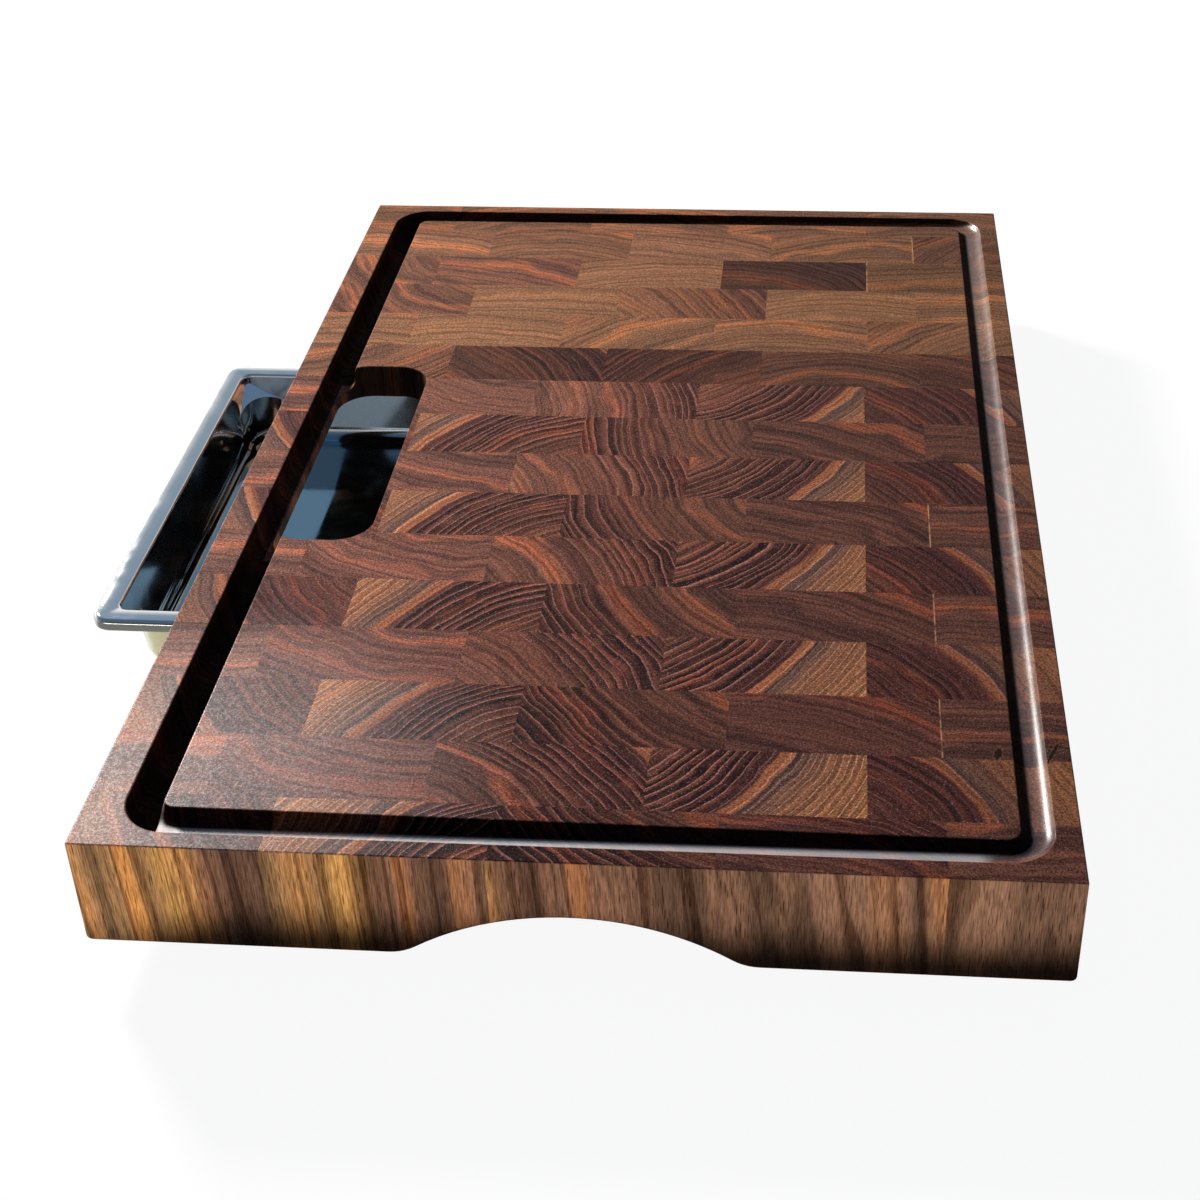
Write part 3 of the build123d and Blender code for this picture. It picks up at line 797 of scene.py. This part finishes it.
# %% [markdown]
# ## Which board each block was cut from
# A butcher block starts as flat boards glued edge to edge into a panel. The panel is sawn across into strips,
# and the strips are stood on end and glued again, every second one turned end for end. So the same five
# boards come back in strip after strip, half a turn round, and the rings meet in chevrons where two boards
# lean together. Random rings would lose those chevrons, so the rule is kept here: five boards are described
# once at the near end of the first panel and once at its far end, and every strip between takes its share.
# The six far strips come from a plainer, redder panel with odd boards in it, so theirs are listed strip by
# strip. Places are in millimetres from the middle of a block.

# %% Boards of the two panels
Figure = namedtuple("Figure", "pith_x pith_y band light warm lines", defaults=[0.5])

NEAR_PANEL_STRIPS = 10
NEAR_PANEL_START = [
    Figure(84, 51, 95, 0.85, 0.15, 0.20),
    Figure(72, -46, 88, 1.00, 0.30, 1.0),
    Figure(70, 85, 150, 0.74, 0.20, 0.85),
    Figure(-40, -124, 200, 0.80, 0.00, 0.6),
    Figure(-10, -200, 300, 0.95, 0.20, 0.6),
]
NEAR_PANEL_END = [
    Figure(84, 51, 122, 0.75, 0.20, 0.20),
    Figure(75, -65, 124, 0.95, 0.40, 0.7),
    Figure(110, 20, 176, 0.90, 0.35, 0.6),
    Figure(-60, -110, 235, 0.80, 0.25, 0.6),
    Figure(-30, -190, 300, 0.75, 0.25, 0.6),
]
FAR_PANEL_STRIPS = [
    [Figure(-60, 90, 190, 1.0, 0.7), Figure(-100, -75, 172, 0.52, 0.4, 0.4),
     Figure(90, -80, 166, 0.55, 0.4, 0.4), Figure(0, -60, 150, 0.75, 0.5, 0.4),
     Figure(-40, -60, 130, 0.70, 0.4, 0.4)],
    [Figure(20, -160, 260, 1.2, 0.9), Figure(0, -150, 260, 1.35, 1.0), Figure(80, -90, 220, 1.3, 0.9),
     Figure(0, -90, 190, 1.35, 0.9), Figure(70, -90, 200, 1.3, 0.9)],
    [Figure(80, 60, 190, 0.9, 0.5), Figure(0, -200, 300, 1.35, 1.0), Figure(-100, -60, 172, 1.2, 0.8, 0.25),
     Figure(10, -120, 220, 1.55, 1.0), Figure(-20, -130, 225, 1.45, 1.0)],
    [Figure(90, 50, 200, 0.9, 0.5), Figure(-30, -110, 210, 0.90, 0.4), Figure(20, -140, 240, 1.35, 0.9),
     Figure(-30, -60, 112, 0.52, 0.6, 0.25), Figure(10, -150, 250, 1.0, 1.0)],
    [Figure(-20, -150, 240, 1.2, 0.8), Figure(0, -80, 175, 1.05, 0.8), Figure(-40, -150, 250, 1.35, 0.8),
     Figure(30, -100, 200, 1.2, 0.9), Figure(80, -80, 200, 0.85, 0.7)],
    [Figure(0, -120, 220, 0.80, 0.8), Figure(20, -80, 180, 0.80, 0.8), Figure(-30, -130, 230, 1.0, 0.8),
     Figure(10, -110, 210, 1.1, 0.8), Figure(0, -140, 240, 1.1, 0.8)],
]


def between(first, second, share):
    """A figure part of the way from one to another."""
    return Figure(*[a + (b - a) * share for a, b in zip(first, second)])


def strip_figures(index):
    """The five figures of a strip from left to right, and whether they are turned end for end."""
    if index >= NEAR_PANEL_STRIPS:
        return FAR_PANEL_STRIPS[index - NEAR_PANEL_STRIPS], False
    share = index / (NEAR_PANEL_STRIPS - 1)
    boards = [between(a, b, share) for a, b in zip(NEAR_PANEL_START, NEAR_PANEL_END)]
    turned = index % 2 == 1
    return (boards[::-1] if turned else boards), turned


print("panels:", NEAR_PANEL_STRIPS, "strips interpolated,", len(FAR_PANEL_STRIPS), "listed")

# %% [markdown]
# ## Dressing the strips
# The solids of a strip keep a glue line's width apart. In the finished board that joint is a tight line, so a
# copy of each strip has its joints drawn shut, and every block gets the numbers of the board that it came
# from. New boxes would be simpler, but the groove, the slot and the arches are already cut into the solids.
# The copy keeps the solid's own normals, because a groove as shallow as this one shows every wrong one.

# %% Strip meshes
NEAR_PANEL = {"block": 85.4, "first": 74.5, "first_turned": 45.0}
FAR_PANEL = {"block": 83.4, "first": 80.0, "first_turned": 53.0}
JOINTS_IN_STRIP = 4
NEAR_STRIP, STRIP_PITCH = 32.0, 38.6
GLUE_REACH = 0.06
GLUE_SHOWS = {"strip_03", "strip_05", "strip_07", "strip_14", "strip_15"}
NO_GLUE = 9999.0
# Painted light: the left end of each strip is made lighter, as if more strongly lit, most in turned strips.
PAINTED_LIGHT_LEFT, PAINTED_LIGHT_LEFT_TURNED = 1.55, 2.1
MOST_SEED = 9


def piece(name, mesh, finish, body, slot, *nodes):
    """Adds a finished mesh to the scene, on its body, in place of the nodes that it stands for."""
    mesh.name = name
    mesh.materials.clear()
    mesh.materials.append(finish)
    made = bpy.data.objects.new(name, mesh)
    scene.collection.objects.link(made)
    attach(made, body)
    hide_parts(*nodes)
    return made


def strip_joints(index):
    """Where a strip's blocks meet, and their pitch, in millimetres across the frame."""
    panel = NEAR_PANEL if index < NEAR_PANEL_STRIPS else FAR_PANEL
    first = panel["first_turned"] if index % 2 else panel["first"]
    return [board_low.x + first + k * panel["block"] for k in range(JOINTS_IN_STRIP)], panel["block"]


def shut(value, joints):
    """Moves a place that lies at a glue line onto the line."""
    for joint in joints:
        if abs(value / MM - joint) < GLUE_REACH:
            return joint * MM
    return value


def dress_strip(index, name, seeds):
    joints, block = strip_joints(index)
    strip_lines = [board_low.y + NEAR_STRIP + k * STRIP_PITCH for k in range(len(strip_names) - 1)]
    middle_y = board_low.y + NEAR_STRIP + (index - 0.5) * STRIP_PITCH
    figures, turned = strip_figures(index)
    facing = -1 if turned else 1
    growth = [seeds.uniform(0, MOST_SEED) for _ in figures]
    glue = joints[-1] if name in GLUE_SHOWS else NO_GLUE
    painted_lighting = PAINTED_LIGHT_LEFT_TURNED if turned else PAINTED_LIGHT_LEFT
    mesh = bpy.data.objects[name].data.copy()
    for layer in BLOCK_NUMBERS:
        mesh.attributes.new(layer, "FLOAT_VECTOR", "POINT")
    pith, tone, marks = [mesh.attributes[layer].data for layer in BLOCK_NUMBERS]
    for k, vert in enumerate(mesh.vertices):
        number = sum(joint < vert.co.x / MM for joint in joints)
        figure = figures[number]
        pith_x = joints[0] + (number - 0.5) * block + facing * figure.pith_x
        pith[k].vector = (pith_x, middle_y + facing * figure.pith_y, figure.band)
        tone[k].vector = (figure.light, figure.warm, growth[number])
        marks[k].vector = (figure.lines, glue, painted_lighting)
        vert.co.x = shut(vert.co.x, joints)
        vert.co.y = shut(vert.co.y, strip_lines)
    slot = "dark_walnut" if index < NEAR_PANEL_STRIPS else "red_walnut"
    return piece(f"walnut_{name}", mesh, block_walnut, "board", slot, name)


seeds = random.Random(16)
strips = [dress_strip(index, name, seeds) for index, name in enumerate(strip_names)]
print("strips:", len(strips), "pieces,", sum(len(s.data.polygons) for s in strips), "triangles")

# %% [markdown]
# ## Marks of use
# Polished steel is never quite even: fingers leave smudges, and wiping leaves fine scratches. Smudges only
# change how sharp a reflection is, and scratches also dull the steel a little. A picture of scratches would
# repeat, so both are noise, the scratches drawn out along the way of wiping. They are made once as a group
# and placed in every metal here at its own strength.

# %% Handling marks group
SMUDGES = dict(per_mm=0.035, detail=4.0, roughness=0.6, low=0.42, high=0.70)
WIPED = (0.05, 2.2, 0.4)
SCRATCHES = dict(per_mm=1.0, low=0.60, high=0.74)
ROUGHER_SCRATCH = 0.05
SCRATCH_SHOWS, SCRATCH_DARKER = 0.4, 0.8


def make_handling_marks():
    takes = {"Place": "Vector", "Smooth": "Float", "Smudged": "Float"}
    tree, take, give = group("handling_marks", takes, ("Roughness", "Scratches"))
    cloud = mottled(tree, take["Place"], **SMUDGES)
    rough = calc(tree, "MULTIPLY_ADD", cloud, take["Smudged"], take["Smooth"])
    hair = mottled(tree, vector(tree, "MULTIPLY", take["Place"], WIPED), **SCRATCHES)
    feed(tree, give["Roughness"], calc(tree, "MULTIPLY_ADD", hair, ROUGHER_SCRATCH, rough))
    feed(tree, give["Scratches"], hair)
    return tree


def scratched(tree, marks, colour):
    """A metal's colour, a little darker in its scratches."""
    darker = [SCRATCH_DARKER * part for part in colour]
    return blend(tree, calc(tree, "MULTIPLY", marks["Scratches"], SCRATCH_SHOWS), rgb(*colour), rgb(*darker))


handling_marks = make_handling_marks()
print("group:", handling_marks.name, "with", len(handling_marks.nodes), "nodes")

# %% [markdown]
# ## The drip pan
# The pan is drawn from one sheet: a rim turned down at its edge, and square corners at the mouth that slope
# away into a round-cornered well. The solid already has that shape and only gets the finish. A pressed rim is
# never quite flat, so a height map crowns it a little between its outer edge and the mouth, and its mirror
# image runs from bright to blue. A mirror shows what stands around it, and here that is a plain sky. So the
# reflections are painted into the colour: a blue reflection on the floor of the well, an olive one on the
# outside, and painted shade that makes the rim's edge nearly black.

# %% Drip pan
PAN_COLOUR = (0.80, 0.80, 0.81)
PAN_MARKS = dict(Smooth=0.05, Smudged=0.09)
PAN_SCRATCH_MM = 0.001
RIM_WIDE, RIM_CROWN, RIM_MITRE = 11.0, 0.8, 4.0
WELL_REFLECTION_TINT, FLOOR_HEIGHT = rgb(0.26, 0.40, 0.50), dict(low=9.0, high=17.0, start=1.0, end=0.0)
UPWARD, OUTWARD = dict(low=0.1, high=0.7), dict(low=0.55, high=0.85)
OUTSIDE_REFLECTION_TINT = rgb(0.44, 0.42, 0.26)
RIM_EDGE_SHADE, EDGE_HEIGHT = rgb(0.15, 0.16, 0.15), dict(low=36.0, high=41.0)

pan_low, pan_high = [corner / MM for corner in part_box("drip_pan")]
pan_middle = (pan_low + pan_high) / 2
pan_half = (pan_high - pan_low) / 2


def rim_crown(tree, place):
    """How far the rim bulges, in millimetres, from its distance to the nearest edge."""
    out = apart(tree, vector(tree, "SUBTRACT", place, tuple(pan_middle)))
    insets = [calc(tree, "SUBTRACT", pan_half[axis], calc(tree, "ABSOLUTE", out[axis])) for axis in (0, 1)]
    share = calc(tree, "DIVIDE", calc(tree, "SMOOTH_MIN", *insets, RIM_MITRE), RIM_WIDE)
    arch = calc(tree, "MULTIPLY", share, rest_of(tree, share))
    return calc(tree, "MULTIPLY", calc(tree, "MAXIMUM", arch, 0.0), 4 * RIM_CROWN)


def pan_outside(tree, place, facing):
    """1 where the pan's surface faces away from its middle, 0 inside it."""
    out = apart(tree, vector(tree, "SUBTRACT", place, tuple(pan_middle)))
    way = apart(tree, facing)
    shares = [calc(tree, "MULTIPLY", calc(tree, "SIGN", out[axis]), way[axis]) for axis in "XY"]
    return ease(tree, calc(tree, "MAXIMUM", *shares), **OUTWARD)


def make_pan_steel():
    made, tree, shader = material("polished_steel")
    place = in_millimetres(tree)
    up = apart(tree, place)["Z"]
    facing = surface_facing(tree)
    marks = place_group(tree, handling_marks, Place=place, **PAN_MARKS)
    upward = ease(tree, apart(tree, facing)["Z"], **UPWARD)
    # Painted reflections: blue on the floor of the well, olive outside; painted shade makes the rim's edge
    # nearly black.
    well = part_of(tree, ease(tree, up, **FLOOR_HEIGHT), upward)
    colour = blend(tree, well, scratched(tree, marks, PAN_COLOUR), WELL_REFLECTION_TINT)
    around = blend(tree, ease(tree, up, **EDGE_HEIGHT), OUTSIDE_REFLECTION_TINT, RIM_EDGE_SHADE)
    colour = blend(tree, pan_outside(tree, place, facing), colour, around)
    feed_all(tree, shader, Base_Color=colour, Roughness=marks["Roughness"], Metallic=1.0)
    height = calc(tree, "MULTIPLY_ADD", marks["Scratches"], PAN_SCRATCH_MM, rim_crown(tree, place))
    raise_surface(tree, shader, height, 1.0, 1.0)
    return made


def refinish(finish, *nodes):
    """Gives shown solids a new material."""
    for node in nodes:
        for slot in bpy.data.objects[node].material_slots:
            slot.material = finish


refinish(make_pan_steel(), "drip_pan")
print("pan:", [round(v, 1) for v in pan_high - pan_low], "mm")

# %% [markdown]
# ## Runners
# Two walnut battens carry the pan by its rim. Their grain runs along them, from left to right, so they ask
# the same growth rings with the axes turned: what is up for a block is sideways for a runner. A wood of their
# own would be one more recipe to keep alike. The solids have the right shape and only get the finish.

# %% Runner finish
RUNNER_GROWTH = dict(Pith=(20, -70, 150), Seed=4.0, Ring_width=5.0, Wander=8.0)
RUNNER_SHADE = 0.8
RUNNER_ROUGHNESS = dict(low=0.3, high=0.7, start=0.46, end=0.60)
RUNNER_GLOSS = 0.25


def make_runner_walnut():
    made, tree, shader = material("runner_walnut")
    at = apart(tree, in_millimetres(tree))
    turned = together(tree, at["Y"], at["Z"], at["X"])
    rings = place_group(tree, growth_rings, Place=turned, **RUNNER_GROWTH)
    side = scaled(tree, long_grain_colour(tree, turned, rings), RUNNER_SHADE)
    colour = blend(tree, end_grain_share(tree, "X"), side, end_grain_colour(tree, turned, rings))
    rough = ease(tree, rings["Streak"], **RUNNER_ROUGHNESS)
    feed_all(tree, shader, Base_Color=colour, Roughness=rough, Specular_IOR_Level=RUNNER_GLOSS)
    return made


refinish(make_runner_walnut(), "near_runner", "far_runner")

# %% [markdown]
# ## Feet
# Moulded rubber is never pure black. It has a fine grain from its mould, a grey bloom, and pale dust where it
# meets the table. The solids have the right shape, so three noises of their own fineness give the finish. An
# even dark grey would make a hole in the picture.

# %% Foot finish
RUBBER, BLOOM_COLOUR, DUST = rgb(0.018, 0.018, 0.019), rgb(0.040, 0.039, 0.038), rgb(0.16, 0.15, 0.14)
BLOOM = dict(per_mm=0.12, detail=4.0, roughness=0.6, low=0.35, high=0.75)
DUST_HEIGHT = dict(low=0.0, high=2.5, start=0.6, end=0.0)
DUST_PATCHES = dict(per_mm=0.6, detail=3.0, low=0.4, high=0.65)
RUBBER_ROUGHNESS = dict(low=0.0, high=1.0, start=0.62, end=0.78)
MOULD_GRAIN_PER_MM, MOULD_RELIEF, MOULD_RELIEF_MM = 3.0, 0.25, 0.05


def make_rubber():
    made, tree, shader = material("foot_rubber")
    place = in_millimetres(tree)
    bloom = mottled(tree, place, **BLOOM)
    up = apart(tree, place)["Z"]
    dust = part_of(tree, ease(tree, up, **DUST_HEIGHT), mottled(tree, place, **DUST_PATCHES))
    colour = blend(tree, dust, blend(tree, bloom, RUBBER, BLOOM_COLOUR), DUST)
    feed_all(tree, shader, Base_Color=colour, Roughness=ease(tree, bloom, **RUBBER_ROUGHNESS))
    raise_surface(tree, shader, noise(tree, place, MOULD_GRAIN_PER_MM), MOULD_RELIEF, MOULD_RELIEF_MM)
    return made


feet = sorted(name for name in frame["nodes"] if name.endswith("_foot"))
refinish(make_rubber(), *feet)
print("feet:", ", ".join(feet))

# %% [markdown]
# ## Setting out on a grid
# Screws and washers come in sets: six in the runners, four in the feet. Each set stands on a grid. Copies
# could be placed one by one, but one tree of Geometry Nodes sets out any of them: it takes a thing, puts a
# copy on each point of a grid and turns the heads the right way. The copies end as real meshes with a
# material, because the export drops instances.

# %% A tree that sets out copies
GRID_INPUTS = [("Columns", "Int"), ("Rows", "Int"), ("Pitch across", "Float"), ("Pitch along", "Float"),
               ("Middle", "Vector"), ("Turn", "Float"), ("Face inwards", "Float"), ("Finish", "Material")]


def geometry_tree(name, takes):
    """Starts a Geometry Nodes tree with named inputs, and returns it with its two ends."""
    tree = bpy.data.node_groups.new(name, "GeometryNodeTree")
    for label, kind in takes:
        tree.interface.new_socket(label, in_out="INPUT", socket_type=f"NodeSocket{kind}")
    tree.interface.new_socket("Geometry", in_out="OUTPUT", socket_type="NodeSocketGeometry")
    return tree, put(tree, "NodeGroupInput").outputs, put(tree, "NodeGroupOutput").inputs


def grid_length(tree, count, pitch):
    """From the first to the last of a row."""
    return part_of(tree, calc(tree, "SUBTRACT", count, 1), pitch)


def make_set_out():
    tree, take, give = geometry_tree("set_out_on_a_grid", [("Thing", "Geometry")] + GRID_INPUTS)
    wide = grid_length(tree, take["Columns"], take["Pitch across"])
    long = grid_length(tree, take["Rows"], take["Pitch along"])
    feeds = {"Size X": wide, "Size Y": long, "Vertices X": take["Columns"], "Vertices Y": take["Rows"]}
    grid = put(tree, "GeometryNodeMeshGrid", feeds).outputs["Mesh"]
    side = apart(tree, put(tree, "GeometryNodeInputPosition").outputs[0])["Y"]
    quarter = part_of(tree, calc(tree, "SIGN", side), take["Face inwards"], pi / 2)
    tilt = together(tree, calc(tree, "ADD", take["Turn"], quarter))
    feeds = {"Points": grid, "Instance": take["Thing"], "Rotation": tilt}
    copies = put(tree, "GeometryNodeInstanceOnPoints", feeds).outputs["Instances"]
    feeds = {"Geometry": copies, "Translation": take["Middle"]}
    placed = put(tree, "GeometryNodeTransform", feeds).outputs[0]
    real = put(tree, "GeometryNodeRealizeInstances", {"Geometry": placed}).outputs[0]
    feeds = {"Geometry": real, "Material": take["Finish"]}
    feed(tree, give["Geometry"], put(tree, "GeometryNodeSetMaterial", feeds).outputs[0])
    return tree


set_out = make_set_out()
print("tree:", set_out.name, "with", len(set_out.nodes), "nodes")

# %% [markdown]
# ## Screws and washers
# A screw is a head, a shank and a point, which are all cones, with a cross cut into the head for the driver.
# So one tree with inputs for the sizes makes both kinds: the runner screws are countersunk, and the foot
# screws have flat heads, each on a washer. A washer is a disc with a hole. The solids could be shown as they
# are, but made here their round sides shade smoothly. Sizes are those of the solids.

# %% Trees that make a screw and a washer
SIDES = 40
RUNNER_SCREW = {"Head": 3.5, "Head height": 1.75, "Neck": 1.75, "Shank": 1.75, "Length": 24.9}
FOOT_SCREW = {"Head": 4.2, "Head height": 2.6, "Neck": 4.2, "Shank": 2.0, "Length": 26.7}
WASHER = {"Radius": 5.6, "Bore": 2.3, "Thick": 1.2}
SCREW_POINT, POINT_TIP = 3.0, 0.15
CROSS_LONG, CROSS_WIDE, CROSS_DEEP = 1.1, 0.3, 0.35
DRILL_LENGTH = 3.0


def moved_down(tree, mesh, distance):
    """A mesh lowered along its own axis."""
    down = together(tree, z=calc(tree, "MULTIPLY", distance, -1.0))
    return put(tree, "GeometryNodeTransform", {"Geometry": mesh, "Translation": down}).outputs[0]


def cone(tree, top, bottom, depth):
    """A cone that stands on its narrow or wide end, as its radii say."""
    feeds = {"Vertices": SIDES, "Radius Top": top, "Radius Bottom": bottom, "Depth": depth}
    return put(tree, "GeometryNodeMeshCone", feeds).outputs["Mesh"]


def cut_away(tree, mesh, *cutters):
    """A mesh less its cutters."""
    cut = put(tree, "GeometryNodeMeshBoolean", {"Mesh 1": mesh}, operation="DIFFERENCE")
    for cutter in cutters:
        tree.links.new(cutter, cut.inputs["Mesh 2"])
    return cut.outputs["Mesh"]


def set_out_thing(tree, take, give, thing):
    """Hands a thing and the grid's inputs on to the shared tree."""
    node = put(tree, "GeometryNodeGroup", {"Thing": thing}, node_tree=set_out)
    for label, _ in GRID_INPUTS:
        tree.links.new(take[label], node.inputs[label])
    feed(tree, give["Geometry"], node.outputs["Geometry"])


def make_screws():
    sizes = [(label, "Float") for label in RUNNER_SCREW]
    tree, take, give = geometry_tree("cross_head_screws", sizes + GRID_INPUTS)
    head = cone(tree, take["Head"], take["Neck"], take["Head height"])
    head = moved_down(tree, head, take["Head height"])
    shares = (CROSS_LONG, CROSS_WIDE, 2 * CROSS_DEEP)
    long, wide, deep = [calc(tree, "MULTIPLY", take["Head"], share) for share in shares]
    bars = [together(tree, long, wide, deep), together(tree, wide, long, deep)]
    cross = [put(tree, "GeometryNodeMeshCube", {"Size": size}).outputs["Mesh"] for size in bars]
    end = calc(tree, "SUBTRACT", take["Length"], SCREW_POINT * MM)
    plain = calc(tree, "SUBTRACT", end, take["Head height"])
    shank = moved_down(tree, cone(tree, take["Shank"], take["Shank"], plain), end)
    tip = calc(tree, "MULTIPLY", take["Shank"], POINT_TIP)
    point = moved_down(tree, cone(tree, take["Shank"], tip, SCREW_POINT * MM), take["Length"])
    joined = put(tree, "GeometryNodeJoinGeometry")
    for part in (cut_away(tree, head, *cross), shank, point):
        tree.links.new(part, joined.inputs[0])
    set_out_thing(tree, take, give, joined.outputs[0])
    return tree


def make_washers():
    tree, take, give = geometry_tree("washers", [(label, "Float") for label in WASHER] + GRID_INPUTS)
    disc = cone(tree, take["Radius"], take["Radius"], take["Thick"])
    drill = cone(tree, take["Bore"], take["Bore"], calc(tree, "MULTIPLY", take["Thick"], DRILL_LENGTH))
    set_out_thing(tree, take, give, cut_away(tree, disc, moved_down(tree, drill, take["Thick"])))
    return tree


screws, washers = make_screws(), make_washers()
print("trees:", set_out.name, "used by", screws.name, "and", washers.name)

# %% [markdown]
# ## From trees to pieces
# A tree's result is not a mesh yet, and a piece has to be one. So each tree runs once on an empty mesh, and
# what comes out is kept without the modifier. Flat shading would show the forty sides of a shank, and
# smooth shading alone would round off the rims, so the faces are smooth, the corners sharp, and the large
# faces decide the normals. The runner screws face each other across the channel, and the foot screws face
# the table.

# %% Set out the fasteners
SHARP_EDGE = radians(32)
ZINC = (0.60, 0.60, 0.59)
ZINC_MARKS = dict(Smooth=0.24, Smudged=0.16)
ZINC_RELIEF, ZINC_RELIEF_MM = 0.15, 0.02


def make_screw_steel():
    made, tree, shader = material("zinc_steel")
    marks = place_group(tree, handling_marks, Place=in_millimetres(tree), **ZINC_MARKS)
    colour = scratched(tree, marks, ZINC)
    feed_all(tree, shader, Base_Color=colour, Roughness=marks["Roughness"], Metallic=1.0)
    raise_surface(tree, shader, marks["Scratches"], ZINC_RELIEF, ZINC_RELIEF_MM)
    return made


def mesh_from(bench):
    """The mesh that comes out of an object's modifiers; the object itself is removed."""
    depsgraph = bpy.context.evaluated_depsgraph_get()
    mesh = bpy.data.meshes.new_from_object(bench.evaluated_get(depsgraph))
    bpy.data.objects.remove(bench)
    return mesh


def on_bench(mesh):
    """A passing object that holds a mesh while modifiers work on it."""
    bench = bpy.data.objects.new("bench", mesh)
    scene.collection.objects.link(bench)
    return bench


def run_tree(tree, values):
    """Runs a tree once on an empty mesh and returns the mesh that comes out."""
    bench = on_bench(bpy.data.meshes.new("bench"))
    modifier = bench.modifiers.new("layout", "NODES")
    modifier.node_group = tree
    for item in tree.interface.items_tree:
        if item.in_out == "INPUT":
            modifier[item.identifier] = values[item.name]
    return mesh_from(bench)


def finish_normals(mesh):
    """Smooth faces, sharp corners, and normals that the large faces decide. Returns a plain mesh."""
    mesh.polygons.foreach_set("use_smooth", [True] * len(mesh.polygons))
    mesh.set_sharp_from_angle(angle=SHARP_EDGE)
    bench = on_bench(mesh)
    modifier = bench.modifiers.new("weighted", "WEIGHTED_NORMAL")
    modifier.keep_sharp = True
    return mesh_from(bench)


def grid_of(node, columns, rows, edge_x, edge_y, z, turn, inwards):
    """The grid's inputs for a node: its copies reach to the node's box, less an edge, at one height."""
    low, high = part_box(node)
    middle = (low + high) / 2
    span = high - low
    return {"Columns": columns, "Rows": rows, "Pitch across": (span.x - 2 * edge_x) / (columns - 1),
            "Pitch along": (span.y - 2 * edge_y) / (rows - 1), "Middle": (middle.x, middle.y, z),
            "Turn": turn, "Face inwards": inwards, "Finish": screw_steel}


def fasteners(node, tree, sizes, grid):
    """Makes the set of fasteners that stands for a node."""
    metres = {label: size * MM for label, size in sizes.items()}
    mesh = finish_normals(run_tree(tree, {**metres, **grid}))
    made = piece(f"{node}_made", mesh, screw_steel, "board", "screw_steel", node)
    print(made.name, len(mesh.polygons), "faces")


screw_steel = make_screw_steel()
runner_low, runner_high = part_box("runner_screws")
head, length = RUNNER_SCREW["Head"] * MM, RUNNER_SCREW["Length"] * MM
across = grid_of("runner_screws", 3, 2, head, length, (runner_low.z + runner_high.z) / 2, 0.0, 1.0)
fasteners("runner_screws", screws, RUNNER_SCREW, across)

head = FOOT_SCREW["Head"] * MM
under = grid_of("foot_screws", 2, 2, head, head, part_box("foot_screws")[0].z, pi, 0.0)
fasteners("foot_screws", screws, FOOT_SCREW, under)

edge = WASHER["Radius"] * MM
flat = grid_of("foot_washers", 2, 2, edge, edge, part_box("foot_washers")[0].z, 0.0, 0.0)
fasteners("foot_washers", washers, WASHER, flat)
